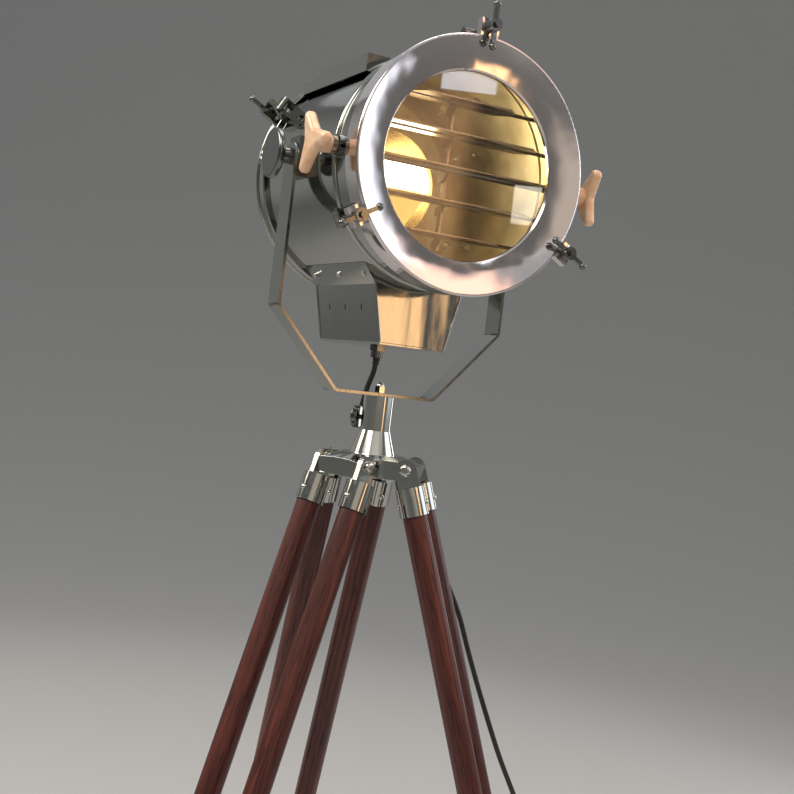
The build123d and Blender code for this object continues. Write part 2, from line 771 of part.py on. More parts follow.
# Lamp box: folded sheet under the drum, open at the top and the bottom
box_plane = Plane(origin=(0, box_rear, pivot_height), x_dir=(1, 0, 0), z_dir=(0, -1, 0))
box_outline = [
    (-box_foot, -box_drop),
    (box_foot, -box_drop),
    (box_shoulder, -box_shoulder_drop),
    (box_flange, -box_flange_drop),
    (box_shoulder, -box_top_drop),
    (-box_shoulder, -box_top_drop),
    (-box_flange, -box_flange_drop),
    (-box_shoulder, -box_shoulder_drop),
]
box_length = box_front + box_rear
box_middle = (box_rear - box_front) / 2
with BuildPart() as lamp_box:
    with BuildSketch(box_plane):
        with BuildLine():
            Polyline(*box_outline, close=True)
        make_face()
    extrude(amount=box_length)
    with BuildSketch(box_plane.offset(box_wall)):
        with BuildLine():
            Polyline(*box_outline, close=True)
        make_face()
        offset(amount=-box_wall, kind=Kind.INTERSECTION, mode=Mode.REPLACE)
    extrude(amount=box_length - 2 * box_wall, mode=Mode.SUBTRACT)
    with Locations((0, box_middle, pivot_height - box_drop)):
        Box(2 * (box_foot - box_lip), box_length - 2 * box_lip, 2 * overrun, mode=Mode.SUBTRACT)
    for number in (-1, 0, 1):
        with Locations((0, gland_behind + number * box_slot_pitch, pivot_height - box_slot_drop)):
            Box(2 * (box_shoulder + overrun), box_slot_width, box_slot_height, mode=Mode.SUBTRACT)
    add(along_y(drum_radius + fit_gap, drum_rear, drum_front), mode=Mode.SUBTRACT)
keep(lamp_box.part, "lamp_box")

flange_tilt = atan2(box_shoulder_drop - box_flange_drop, box_flange - box_shoulder)
with BuildPart() as box_screws:
    for side in sides:
        for place in (-box_front + box_screw_inset, box_middle, box_rear - box_screw_inset):
            spot = (
                side * (box_shoulder + box_flange) / 2,
                place,
                pivot_height - (box_shoulder_drop + box_flange_drop) / 2,
            )
            facing = (side * sin(flange_tilt), 0, -cos(flange_tilt))
            with BuildSketch(Plane(origin=spot, x_dir=(0, 1, 0), z_dir=facing)):
                Circle(box_screw_radius)
            extrude(amount=box_screw_height)
keep(box_screws.part, "box_screws")

plate_top = pivot_height - box_drop
with BuildPart() as box_plate:
    with Locations((0, box_middle, plate_top - plate_thickness / 2)):
        Box(2 * (box_foot + plate_lip), box_length + 2 * plate_lip, plate_thickness)
    with Locations((0, gland_behind, plate_top)):
        Cylinder(gland_radius + fit_gap, 2 * (plate_thickness + overrun), mode=Mode.SUBTRACT)
keep(box_plate.part, "box_plate")

with BuildPart() as cable_gland:
    with BuildSketch(Plane.XY.offset(plate_top)):
        with Locations((0, gland_behind)):
            RegularPolygon(gland_hex_radius, hex_sides)
    extrude(amount=gland_nut_height)
    with BuildSketch(Plane.XY.offset(plate_top - plate_thickness)):
        with Locations((0, gland_behind)):
            Circle(gland_radius)
    extrude(amount=plate_thickness)
    with BuildSketch(Plane.XY.offset(plate_top - plate_thickness - gland_hex_height)):
        with Locations((0, gland_behind)):
            RegularPolygon(gland_hex_radius, hex_sides)
    extrude(amount=gland_hex_height)
    with BuildSketch(Plane.XY.offset(plate_top - plate_thickness - gland_hex_height - gland_dome_height)):
        with Locations((0, gland_behind)):
            Circle(gland_dome_radius)
    extrude(amount=gland_dome_height)
    with Locations((0, gland_behind, plate_top)):
        half_bore = plate_thickness + gland_hex_height + gland_dome_height + overrun
        Cylinder(cord_radius + fit_gap, 2 * half_bore, mode=Mode.SUBTRACT)
keep(cable_gland.part, "cable_gland")

# Reflector on a stem from the rear cover
cover_inside = cover_back + cover_rise + cover_crown - cover_sheet
stem_end = cover_inside - cover_crown * reflector_stem_radius / cover_flat_radius
bowl_radius = (reflector_radius**2 + reflector_depth**2) / (2 * reflector_depth)
bowl_half = asin(reflector_radius / bowl_radius)
bowl_middle = reflector_rear - bowl_radius
with BuildPart() as reflector:
    with BuildSketch(head_plane):
        with BuildLine():
            outside, inside = [
                [(size * sin(turn), bowl_middle + size * cos(turn)) for turn in (0, bowl_half / 2, bowl_half)]
                for size in (bowl_radius, bowl_radius - reflector_sheet)
            ]
            ThreePointArc(*outside)
            Line(outside[-1], inside[-1])
            ThreePointArc(*inside)
            Line(inside[0], outside[0])
        make_face()
    revolve(axis=head_axis)
    add(along_y(reflector_stem_radius, stem_end, reflector_sheet / 2 - reflector_rear))
keep(reflector.part, "reflector")

# Lamp socket on a stem from the box plate, and its bulb
socket_top = pivot_height - socket_cup_drop
socket_floor = socket_top - socket_bore_depth
lamp_axis = Axis((0, lamp_behind, 0), (0, 0, 1))
lamp_plane = Plane(origin=(0, lamp_behind, 0), x_dir=(1, 0, 0), z_dir=(0, -1, 0))
leg_top = (socket_top - socket_cup_height + socket_floor) / 2
standing = (Align.CENTER, Align.CENTER, Align.MIN)
with BuildPart() as lamp_socket:
    with BuildSketch(lamp_plane):
        with BuildLine():
            Polyline(
                (0, socket_top - socket_cup_height - socket_base_height),
                (socket_stem_radius, socket_top - socket_cup_height - socket_base_height),
                (socket_cup_radius, socket_top - socket_cup_height),
                (socket_cup_radius, socket_top),
                (bulb_base_radius + fit_gap, socket_top),
                (bulb_base_radius + fit_gap, socket_floor),
                (0, socket_floor),
                close=True,
            )
        make_face()
    revolve(axis=lamp_axis)
    for side in sides:
        with Locations((side * (socket_base_radius - socket_stem_radius), lamp_behind, plate_top)):
            Box(socket_base_height, 2 * socket_stem_radius, leg_top - plate_top, align=standing)
    with Locations((0, lamp_behind, plate_top + gland_nut_height + overrun)):
        Box(2 * (socket_base_radius - socket_stem_radius), 2 * socket_stem_radius, socket_base_height)
keep(lamp_socket.part, "lamp_socket")

bulb_middle = pivot_height - bulb_drop
bulb_neck = socket_top + bulb_base_rise
with BuildPart() as bulb:
    for inset, mode in ((0, Mode.ADD), (bulb_wall, Mode.SUBTRACT)):
        size = bulb_radius - inset
        neck_turn = radians(bulb_neck_angle)
        with BuildSketch(lamp_plane):
            with BuildLine():
                Polyline(
                    (0, socket_floor),
                    (bulb_base_radius - inset, socket_floor),
                    (bulb_base_radius - inset, bulb_neck),
                    (size * sin(neck_turn), bulb_middle - size * cos(neck_turn)),
                    (0, bulb_middle),
                    close=True,
                )
            make_face()
        revolve(axis=lamp_axis, mode=mode)
        with Locations((0, lamp_behind, bulb_middle)):
            Sphere(size, mode=mode)
keep(bulb.part, "bulb")

# Post with its flared neck, turned in one piece
strap_bottom = pivot_height - yoke_drop
post_top = strap_bottom - side_gap
neck_top = post_top - post_length
hub_top = neck_top - neck_length
lock_height = neck_top + pan_lock_share * post_length
lock_out = (cos(radians(pan_lock_angle)), sin(radians(pan_lock_angle)), 0)
lock_plane = Plane(origin=(0, 0, lock_height), x_dir=(0, 0, 1), z_dir=lock_out)
with BuildPart() as neck_post:
    with BuildSketch(Plane.XZ):
        with BuildLine():
            Polyline(
                (0, hub_top),
                (neck_radius, hub_top),
                (neck_top_radius, neck_top),
                (post_radius, neck_top),
                (post_radius, post_top),
                (0, post_top),
                close=True,
            )
        make_face()
    revolve(axis=Axis.Z)
    with BuildSketch(Plane.XY.offset(post_top - pan_bolt_depth)):
        Circle(pan_bolt_radius + fit_gap)
    extrude(amount=pan_bolt_depth + overrun, mode=Mode.SUBTRACT)
    with BuildSketch(lock_plane.offset(pan_lock_shank_seat - side_gap)):
        Circle(pan_lock_shank_radius + run_gap)
    extrude(amount=post_radius, mode=Mode.SUBTRACT)
keep(neck_post.part, "neck_post")

with BuildPart() as pan_bolt:
    with BuildSketch(Plane.XY.offset(post_top - pan_bolt_depth)):
        Circle(pan_bolt_radius)
    extrude(amount=pan_bolt_depth + 2 * side_gap + yoke_thickness)
    with BuildSketch(Plane.XY.offset(strap_bottom + yoke_thickness + side_gap)):
        RegularPolygon(acorn_radius, hex_sides)
    extrude(amount=acorn_height)
    with Locations((0, 0, strap_bottom + yoke_thickness + side_gap + acorn_height)):
        Sphere(acorn_dome_radius)
keep(pan_bolt.part, "pan_bolt")

with BuildPart() as pan_lock:
    with BuildSketch(lock_plane.offset(post_radius + pan_lock_stand)):
        Circle(pan_lock_radius)
    extrude(amount=pan_lock_thickness)
    fillet(pan_lock.edges().filter_by(GeomType.CIRCLE), radius=pan_lock_round)
    with BuildSketch(lock_plane.offset(pan_lock_shank_seat)):
        Circle(pan_lock_shank_radius)
    extrude(amount=post_radius + pan_lock_stand + pan_lock_thickness / 2 - pan_lock_shank_seat)
keep(pan_lock.part, "pan_lock")

# Hub: three arms round a core, hinge bolts across the arms
hinge_height = hub_top - hinge_depth_share * hub_height
leg_angles = [first_leg_angle - 360 / len(leg_names) * number for number in range(len(leg_names))]
leg_planes = {}
for leg, angle in zip(leg_names, leg_angles):
    out = (cos(radians(angle)), sin(radians(angle)), 0)
    across = (-out[1], out[0], 0)
    up = (-out[0] * sin(radians(leg_splay)), -out[1] * sin(radians(leg_splay)), cos(radians(leg_splay)))
    hinge = (hinge_reach * out[0], hinge_reach * out[1], hinge_height)
    leg_planes[leg] = Plane(origin=hinge, x_dir=across, z_dir=up)

arm_corner = sqrt(arm_reach**2 + (arm_width / 2) ** 2)
with BuildPart() as hub:
    with BuildSketch(Plane.XY.offset(hub_top - hub_height)):
        Circle(hub_core_radius)
        for angle in leg_angles:
            with Locations(Location((0, 0), angle)):
                Rectangle(arm_reach, arm_width, align=(Align.MIN, Align.CENTER))
    extrude(amount=hub_height)
    chamfer(hub.faces().sort_by(Axis.Z)[-1].edges(), length=hub_chamfer)
    # The arms fall away from the core like a low cone
    with BuildSketch(Plane.XZ):
        with BuildLine():
            Polyline(
                (hub_core_radius, hub_top),
                (arm_corner, hub_top - hub_fall),
                (arm_corner + overrun, hub_top - hub_fall),
                (arm_corner + overrun, hub_top + overrun),
                (hub_core_radius, hub_top + overrun),
                close=True,
            )
        make_face()
    revolve(axis=Axis.Z, mode=Mode.SUBTRACT)
    for place in leg_planes.values():
        with BuildSketch(Plane(origin=place.origin, x_dir=(0, 0, 1), z_dir=place.x_dir)):
            Circle(hinge_bolt_radius + fit_gap)
        extrude(amount=arm_width, both=True, mode=Mode.SUBTRACT)
keep(hub.part, "hub")

ear_outer = arm_width / 2 + side_gap + ear_thickness
with BuildPart() as hinge_bolts:
    for place in leg_planes.values():
        pin_plane = Plane(origin=place.origin, x_dir=(0, 0, 1), z_dir=place.x_dir)
        with BuildSketch(pin_plane):
            Circle(hinge_bolt_radius)
        extrude(amount=ear_outer + side_gap + hinge_head_height / 2, both=True)
        for side in sides:
            with BuildSketch(pin_plane.offset(side * (ear_outer + side_gap + hinge_head_height / 2))):
                Circle(hinge_head_radius)
            extrude(amount=hinge_head_height / 2, both=True)
            head_end = place.origin + place.x_dir * (side * (ear_outer + side_gap + hinge_head_height))
            rims = hinge_bolts.edges().filter_by(GeomType.CIRCLE)
            rims = rims.filter_by(lambda edge: edge.radius > hinge_bolt_radius)
            fillet(rims.sort_by_distance(head_end)[0], radius=hinge_head_round)
keep(hinge_bolts.part, "hinge_bolts")

# Legs: two rails in ferrules, a collar, a sliding lower leg with its clamp screw and foot
rail_set = arm_width / 2 + side_gap + ear_thickness / 2
rail_corner = rail_flats / 2 / cos(radians(180 / rail_sides))
ferrule_radius = rail_corner + ferrule_wall
leg_length = hinge_height / cos(radians(leg_splay))
rail_end = rail_share * leg_length
collar_top = rail_end - collar_grip
collar_bottom = rail_end + collar_hang
collar_cheek = rail_corner + collar_wall
collar_depth = 2 * (rail_corner + collar_face)
lower_width = 2 * (rail_set - rail_corner - lower_room)
lower_top = rail_end - lower_grip
foot_radius = sqrt(lower_width**2 + lower_depth**2) / 2 + foot_wall
foot_top = leg_length - foot_height
for leg, place in leg_planes.items():
    inward = place.y_dir
    with BuildPart() as fittings:
        for side in sides:
            ear = Plane(
                origin=place.origin + place.x_dir * (side * rail_set), x_dir=inward, z_dir=place.x_dir
            )
            with BuildSketch(ear):
                Circle(ear_radius)
                with Locations((0, -(ferrule_drop + ferrule_floor) / 2)):
                    Rectangle(2 * ear_radius, ferrule_drop + ferrule_floor)
            extrude(amount=ear_thickness / 2, both=True)
            with BuildSketch(place.offset(-ferrule_drop - ferrule_length)):
                with Locations((side * rail_set, 0)):
                    Circle(ferrule_radius)
            extrude(amount=ferrule_length)
            with BuildSketch(place.offset(-ferrule_drop - ferrule_length - overrun)):
                with Locations((side * rail_set, 0)):
                    Circle(rail_corner + fit_gap)
            extrude(amount=ferrule_length + overrun - ferrule_floor, mode=Mode.SUBTRACT)
            with BuildSketch(ear):
                Circle(hinge_bolt_radius + run_gap)
            extrude(amount=ear_thickness, both=True, mode=Mode.SUBTRACT)
        with BuildSketch(place.offset(-collar_bottom)):
            RectangleRounded(2 * (rail_set + collar_cheek), collar_depth, collar_round)
        extrude(amount=collar_bottom - collar_top)
        with BuildSketch(place.offset(-rail_end)):
            for side in sides:
                with Locations((side * rail_set, 0)):
                    Circle(rail_corner + fit_gap)
        extrude(amount=rail_end - collar_top + overrun, mode=Mode.SUBTRACT)
        with BuildSketch(place.offset(-collar_bottom - overrun)):
            Rectangle(lower_width + 2 * side_gap, lower_depth + 2 * side_gap)
        extrude(amount=collar_bottom - collar_top + 2 * overrun, mode=Mode.SUBTRACT)
        screw_origin = place.origin - place.z_dir * ((rail_end + collar_bottom) / 2)
        screw_plane = Plane(origin=screw_origin, x_dir=place.x_dir, z_dir=-inward)
        with BuildSketch(screw_plane):
            Circle(screw_radius + run_gap)
        extrude(amount=collar_depth, mode=Mode.SUBTRACT)
    keep(fittings.part, f"leg_{leg}_fittings")

    with BuildPart() as rails:
        with BuildSketch(place.offset(-rail_end)):
            for side in sides:
                with Locations(Location((side * rail_set, 0), 180 / rail_sides)):
                    RegularPolygon(rail_corner, rail_sides)
        extrude(amount=rail_end - ferrule_drop - ferrule_floor)
    keep(rails.part, f"leg_{leg}_rails")

    with BuildPart() as screw:
        with BuildSketch(screw_plane.offset(collar_depth / 2 + screw_knob_stand)):
            Circle(screw_knob_radius)
        extrude(amount=screw_knob_thickness)
        fillet(screw.edges().filter_by(GeomType.CIRCLE), radius=screw_knob_round)
        with BuildSketch(screw_plane.offset(lower_depth / 2 + side_gap)):
            Circle(screw_radius)
        shank_end = collar_depth / 2 + screw_knob_stand + screw_knob_thickness / 2
        extrude(amount=shank_end - lower_depth / 2 - side_gap)
    keep(screw.part, f"leg_{leg}_screw")

    with BuildPart() as lower:
        with BuildSketch(place.offset(-foot_top - foot_socket)):
            Rectangle(lower_width, lower_depth)
        extrude(amount=foot_top + foot_socket - lower_top)
    keep(lower.part, f"leg_{leg}_lower")

    with BuildPart() as foot:
        with BuildSketch(place.offset(-leg_length - foot_radius)):
            Circle(foot_radius)
        extrude(amount=leg_length + foot_radius - foot_top)
        with BuildSketch(place.offset(-foot_top - foot_socket)):
            Rectangle(lower_width + 2 * fit_gap, lower_depth + 2 * fit_gap)
        extrude(amount=foot_socket + overrun, mode=Mode.SUBTRACT)
        floor_spot = place.origin - place.z_dir * leg_length
        with Locations((floor_spot.X, floor_spot.Y, -foot_radius)):
            Box(4 * foot_radius, 4 * foot_radius, 2 * foot_radius, mode=Mode.SUBTRACT)
    keep(foot.part, f"leg_{leg}_foot")

# Cord: two open stretches, then the coil with its tail, then the plug
gland_mouth = plate_top - gland_hex_height
cord_drop = hub_top + cord_drop_share * (gland_mouth - hub_top)
post_points = [
    Vector(across, back, hub_top + share * (gland_mouth - hub_top))
    for (across, back), share in zip(cord_post_places, cord_post_shares)
]
cord_join = post_points[0] + (post_points[1] - post_points[0]) * cord_join_share
leg_c = leg_planes["c"]
leg_points = [
    leg_c.origin - leg_c.z_dir * (leg_length * (1 - share)) + Vector(across, back, 0)
    for (across, back), share in zip(cord_leg_places, cord_leg_shares)
]
leg_floor = leg_c.origin - leg_c.z_dir * leg_length
floor_points = [leg_floor + Vector(across, back, cord_radius) for across, back in cord_floor_places]
cord_top_points = [
    Vector(0, gland_behind, gland_mouth),
    Vector(0, gland_behind, cord_drop),
    post_points[0],
    cord_join,
]
cord_main_points = [cord_join, *post_points[1:], *leg_points, *floor_points]
section = pi * cord_radius**2
cord_length = 0
for name, points in (("cord_top", cord_top_points), ("cord_main", cord_main_points)):
    radii = bends(points)
    with BuildPart() as cord:
        with BuildLine() as route:
            FilletPolyline(*points, radius=radii)
        cord_line = route.wires()[0]
        with BuildSketch(Plane(origin=cord_line @ 0, z_dir=cord_line % 0)):
            Circle(cord_radius)
        sweep(path=cord_line)
    print(name, "bend radii", [round(radius) for radius in radii])
    print(name, "least bend in diameters", round(min(radii) / (2 * cord_radius), 1))
    print(name, "volume over section times length", cord.part.volume / section / cord_line.length)
    cord_length += cord_line.length
    keep(cord.part, name)

# Coil of the put-away length: a layer spirals in, climbs in a half turn and the next spirals out
last = cord_main_points[-1]
heading = (last - cord_main_points[-2]).normalized()
coil_side = Vector(heading.Y, -heading.X, 0)
coil_start = last + heading * (2 * cord_radius)
coil_centre = coil_start - coil_side * coil_radius
layer_quarters = 4 * coil_layer_turns
coil_quarters = 2 * layer_quarters + coil_extra_quarters


def coil_place(quarter):
    # Point and heading of the coil after a number of quarter turns
    spiral_in = min(quarter, 2 * layer_quarters - quarter)
    radius = coil_radius - coil_pitch * spiral_in / 4
    climbed = coil_pitch * min(max(quarter - layer_quarters + 1, 0), 2) / 2
    steepness = coil_pitch / (pi / 2) if quarter == layer_quarters else 0
    drift = coil_pitch / (2 * pi) * (-1 if quarter < layer_quarters else 1)
    if quarter in (0, layer_quarters, coil_quarters):
        drift = 0
    out = coil_side * cos(pi / 2 * quarter) + heading * sin(pi / 2 * quarter)
    ahead = heading * cos(pi / 2 * quarter) - coil_side * sin(pi / 2 * quarter)
    way = ahead * radius + out * drift + Vector(0, 0, steepness)
    return coil_centre + out * radius + Vector(0, 0, climbed), way.normalized()


def biarc(start, start_way, end, end_way):
    # Two arcs, tangent to each other, from one point and heading to the next
    span = end - start
    ways = start_way + end_way
    turn = 2 * (1 - start_way.dot(end_way))
    reach = (sqrt(span.dot(ways) ** 2 + turn * span.dot(span)) - span.dot(ways)) / turn
    near, far = start + start_way * reach, end - end_way * reach
    TangentArc(start, (near + far) / 2, tangent=start_way)
    TangentArc((near + far) / 2, end, tangent=far - near)


with BuildPart() as cord_coil:
    with BuildLine() as loops:
        Line(last, coil_start)
        for quarter in range(coil_quarters):
            biarc(*coil_place(quarter), *coil_place(quarter + 1))
        tail_start, tail_way = coil_place(coil_quarters)
        tail_end = tail_start + tail_way * tail_run
        Line(tail_start, tail_end)
    coil_line = loops.wires()[0]
    with BuildSketch(Plane(origin=last, z_dir=heading)):
        Circle(cord_radius)
    sweep(path=coil_line)
samples = [coil_line @ (number / coil_samples) for number in range(coil_samples + 1)]
skip = ceil(coil_samples * 4 * cord_radius / coil_line.length)
least = min(
    (samples[b] - samples[a]).length
    for a in range(coil_samples + 1)
    for b in range(a + skip, coil_samples + 1)
)
print("cord_coil least gap to itself", round(least - 2 * cord_radius, 2))
print("cord_coil volume over section times length", cord_coil.part.volume / section / coil_line.length)
print("cord length", round(cord_length + coil_line.length))
keep(cord_coil.part, "cord_coil")

plug_plane = Plane(origin=tail_end - tail_way * plug_cord_seat, x_dir=(0, 0, 1), z_dir=tail_way)
with BuildPart() as plug:
    with BuildSketch(plug_plane.offset(plug_neck_length)):
        RectangleRounded(2 * plug_radius, plug_width, plug_corner)
    extrude(amount=plug_length)
    fillet(plug.faces().filter_by(plug_plane).edges(), radius=plug_round)
    with BuildSketch(plug_plane):
        Circle(plug_neck_radius)
    extrude(amount=plug_neck_length + plug_round)
    with BuildSketch(plug_plane):
        Circle(cord_radius + fit_gap)
    extrude(amount=plug_cord_seat, mode=Mode.SUBTRACT)
    with BuildSketch(plug_plane.offset(plug_neck_length + plug_length - plug_pin_seat)):
        for side in sides:
            with Locations((0, side * plug_pin_spacing / 2)):
                Circle(plug_pin_radius)
    extrude(amount=plug_pin_length + plug_pin_seat)
keep(plug.part, "plug")
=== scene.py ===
import math

import bmesh
import bpy
from mathutils import Matrix, Vector


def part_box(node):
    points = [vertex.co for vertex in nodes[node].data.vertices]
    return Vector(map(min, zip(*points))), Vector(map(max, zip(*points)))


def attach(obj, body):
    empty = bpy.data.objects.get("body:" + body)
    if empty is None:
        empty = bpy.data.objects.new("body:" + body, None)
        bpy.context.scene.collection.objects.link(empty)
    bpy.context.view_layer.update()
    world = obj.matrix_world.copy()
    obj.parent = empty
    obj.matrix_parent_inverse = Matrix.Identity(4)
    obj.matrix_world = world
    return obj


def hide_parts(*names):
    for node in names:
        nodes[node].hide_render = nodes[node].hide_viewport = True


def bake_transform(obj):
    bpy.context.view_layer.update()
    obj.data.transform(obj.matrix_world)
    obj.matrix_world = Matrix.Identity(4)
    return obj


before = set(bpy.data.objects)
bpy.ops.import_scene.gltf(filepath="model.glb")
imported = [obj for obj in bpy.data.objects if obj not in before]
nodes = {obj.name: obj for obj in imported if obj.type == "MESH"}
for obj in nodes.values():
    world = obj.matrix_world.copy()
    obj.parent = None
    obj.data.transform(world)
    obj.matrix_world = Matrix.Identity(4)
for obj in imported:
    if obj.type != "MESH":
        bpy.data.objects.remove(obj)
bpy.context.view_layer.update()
MM = 0.001

# Where the lamp's main lines run, in millimetres from the floor under the post
PIVOT_HEIGHT = 1380.0
DRUM_RADIUS, DRUM_WALL = 144.0, 1.5
FILAMENT_HEIGHT, HOT_BAND, GLOW_BAND = 1387.0, 8.0, 30.0
BOX_FOOT, BOX_SHOULDER, BOX_FRONT, BOX_REAR = (45.0, 1166.0), (60.0, 1234.5), -74.0, 106.0
LEG_HEADINGS = {"a": 203.0, "b": 83.0, "c": -37.0}
LEG_SPLAY = 18.2
HINGE_REACH, HINGE_HEIGHT = 52.0, 1009.0
RAIL_SET, FERRULE_RADIUS, FERRULE_MIDDLE = 36.9, 18.5, 43.0
CORD_RADIUS = 3.5


def leg_axis(leg):
    """The way down a leg from its hinge."""
    heading, splay = math.radians(LEG_HEADINGS[leg]), math.radians(LEG_SPLAY)
    out = math.sin(splay)
    return Vector((math.cos(heading) * out, math.sin(heading) * out, -math.cos(splay)))


def colour(hex_value):
    """A hex colour as a screen shows it, as the linear colour that a socket takes."""
    shown = [int(hex_value[i : i + 2], 16) / 255 for i in (1, 3, 5)]
    return [c / 12.92 if c <= 0.04045 else ((c + 0.055) / 1.055) ** 2.4 for c in shown] + [1.0]


def per_mm(size):
    """The scale at which a pattern repeats about every size millimetres."""
    return 1 / (size * MM)


def add(tree, kind, sockets=None, stops=None, **settings):
    """One node with its settings and its ramp's stops; a socket takes a value or another node's output."""
    made = tree.nodes.new(kind)
    for name, value in settings.items():
        setattr(made, name, value)
    for name, value in (sockets or {}).items():
        if isinstance(value, bpy.types.NodeSocket):
            tree.links.new(value, made.inputs[name])
        else:
            made.inputs[name].default_value = value
    for number, (place, shade) in enumerate(stops or []):
        ramp = made.color_ramp.elements
        stop = ramp[number] if number < len(ramp) else ramp.new(place)
        stop.position = place
        stop.color = colour(shade) if isinstance(shade, str) else (shade, shade, shade, 1)
    return made


def new_finish(name, **sockets):
    """A material with the shader's own sockets set, and its node tree, shader and place on the piece."""
    material = bpy.data.materials.new(name)
    material.use_nodes = True
    tree = material.node_tree
    shader = tree.nodes["Principled BSDF"]
    for socket, value in sockets.items():
        shader.inputs[socket.replace("_", " ")].default_value = value
    place = add(tree, "ShaderNodeTexCoord").outputs["Object"]
    return material, tree, shader, place


# How much duller a wiped streak is than the plate, and a drawn line than the brass
STREAK_HAZE, DRAWN_HAZE = 2.2, 1.5


def chrome_plate(name, shade, wave, depth, haze, stretch=(1, 1, 1)):
    # Chrome plated over polished metal: a cool grey mirror. Sheet that was rolled and bent is never quite
    # flat, so what it mirrors wanders, and a cloth leaves faint wiping marks that dull it in streaks. The
    # marks are hair-fine; they are drawn 2.5 mm apart, coarser than they are, so that a picture holds them.
    material, tree, shader, place = new_finish(name, Metallic=1.0)
    shader.inputs["Base Color"].default_value = colour(shade)
    wiped = add(tree, "ShaderNodeMapping", {"Vector": place, "Scale": (1, 1, 0.12)})
    marks = add(
        tree, "ShaderNodeTexNoise",
        {"Vector": wiped.outputs["Vector"], "Scale": per_mm(2.5), "Detail": 3.0},
    )
    dulled = add(
        tree, "ShaderNodeMapRange",
        {
            "Value": marks.outputs["Fac"], "From Min": 0.35, "From Max": 0.75,
            "To Min": haze, "To Max": haze * STREAK_HAZE,
        },
    )
    tree.links.new(dulled.outputs["Result"], shader.inputs["Roughness"])
    pulled = add(tree, "ShaderNodeMapping", {"Vector": place, "Scale": stretch})
    waves = add(
        tree, "ShaderNodeTexNoise",
        {"Vector": pulled.outputs["Vector"], "Scale": per_mm(wave), "Detail": 1.0},
    )
    bump = add(
        tree, "ShaderNodeBump",
        {"Height": waves.outputs["Fac"], "Strength": 1.0, "Distance": depth * MM},
    )
    tree.links.new(bump.outputs["Normal"], shader.inputs["Normal"])
    return material


def polished_aluminium_casting():
    # Sand-cast aluminium, turned and buffed by hand: brighter and warmer than chrome, with slow hollows from
    # the buffing wheel that break a reflection into wavering patches, and hair-fine buffing marks, drawn at
    # 1.6 mm, coarser than they are.
    material, tree, shader, place = new_finish("polished_aluminium_casting", Metallic=1.0)
    shader.inputs["Base Color"].default_value = colour("#ded6d4")
    hollows = add(tree, "ShaderNodeTexNoise", {"Vector": place, "Scale": per_mm(38), "Detail": 0.6})
    bump = add(
        tree, "ShaderNodeBump",
        {"Height": hollows.outputs["Fac"], "Strength": 1.0, "Distance": 1.9 * MM},
    )
    tree.links.new(bump.outputs["Normal"], shader.inputs["Normal"])
    lines = add(tree, "ShaderNodeTexNoise", {"Vector": place, "Scale": per_mm(1.6), "Detail": 4.0})
    buffed = add(
        tree, "ShaderNodeMapRange",
        {"Value": lines.outputs["Fac"], "From Min": 0.3, "From Max": 0.7, "To Min": 0.07, "To Max": 0.13},
    )
    tree.links.new(buffed.outputs["Result"], shader.inputs["Roughness"])
    return material


def lacquered_brass(name, shades, gloss):
    # Brass, rolled or spun, with an old clear lacquer: a satin gold that has gone brown in slow clouds, and
    # fine drawn lines from the rolling, here coarser than they are, that pull a highlight out into a streak.
    material, tree, shader, place = new_finish(name, Metallic=1.0)
    clouds = add(
        tree, "ShaderNodeTexNoise",
        {"Vector": place, "Scale": per_mm(60), "Detail": 4.0, "Roughness": 0.5},
    )
    tarnish = add(
        tree, "ShaderNodeValToRGB", {"Fac": clouds.outputs["Fac"]},
        stops=list(zip((0.3, 0.52, 0.72), shades)),
    )
    tree.links.new(tarnish.outputs["Color"], shader.inputs["Base Color"])
    rolled = add(tree, "ShaderNodeMapping", {"Vector": place, "Scale": (1, 1, 0.05)})
    drawn = add(
        tree, "ShaderNodeTexNoise",
        {"Vector": rolled.outputs["Vector"], "Scale": per_mm(1.5), "Detail": 3.0},
    )
    satin = add(
        tree, "ShaderNodeMapRange",
        {
            "Value": drawn.outputs["Fac"], "From Min": 0.3, "From Max": 0.7,
            "To Min": gloss, "To Max": gloss * DRAWN_HAZE,
        },
    )
    tree.links.new(satin.outputs["Result"], shader.inputs["Roughness"])
    bump = add(
        tree, "ShaderNodeBump",
        {"Height": drawn.outputs["Fac"], "Strength": 0.25, "Distance": 0.1 * MM},
    )
    tree.links.new(bump.outputs["Normal"], shader.inputs["Normal"])
    return material


def bronzed_steel_strip():
    # Steel strip, cold-rolled and chemically bronzed: a smooth grey-brown with a soft shine along the strip,
    # paler in long faint streaks from rolling and where fingers rub it.
    material, tree, shader, place = new_finish("bronzed_steel_strip", Metallic=1.0)
    rolled = add(tree, "ShaderNodeMapping", {"Vector": place, "Scale": (0.08, 1, 1)})
    streaks = add(
        tree, "ShaderNodeTexNoise",
        {"Vector": rolled.outputs["Vector"], "Scale": per_mm(6), "Detail": 3.0},
    )
    brown = add(
        tree, "ShaderNodeValToRGB", {"Fac": streaks.outputs["Fac"]},
        stops=[(0.3, "#86796a"), (0.55, "#8d8171"), (0.8, "#978b7b")],
    )
    tree.links.new(brown.outputs["Color"], shader.inputs["Base Color"])
    shine = add(
        tree, "ShaderNodeMapRange",
        {"Value": streaks.outputs["Fac"], "From Min": 0.3, "From Max": 0.7, "To Min": 0.16, "To Max": 0.26},
    )
    tree.links.new(shine.outputs["Result"], shader.inputs["Roughness"])
    return material


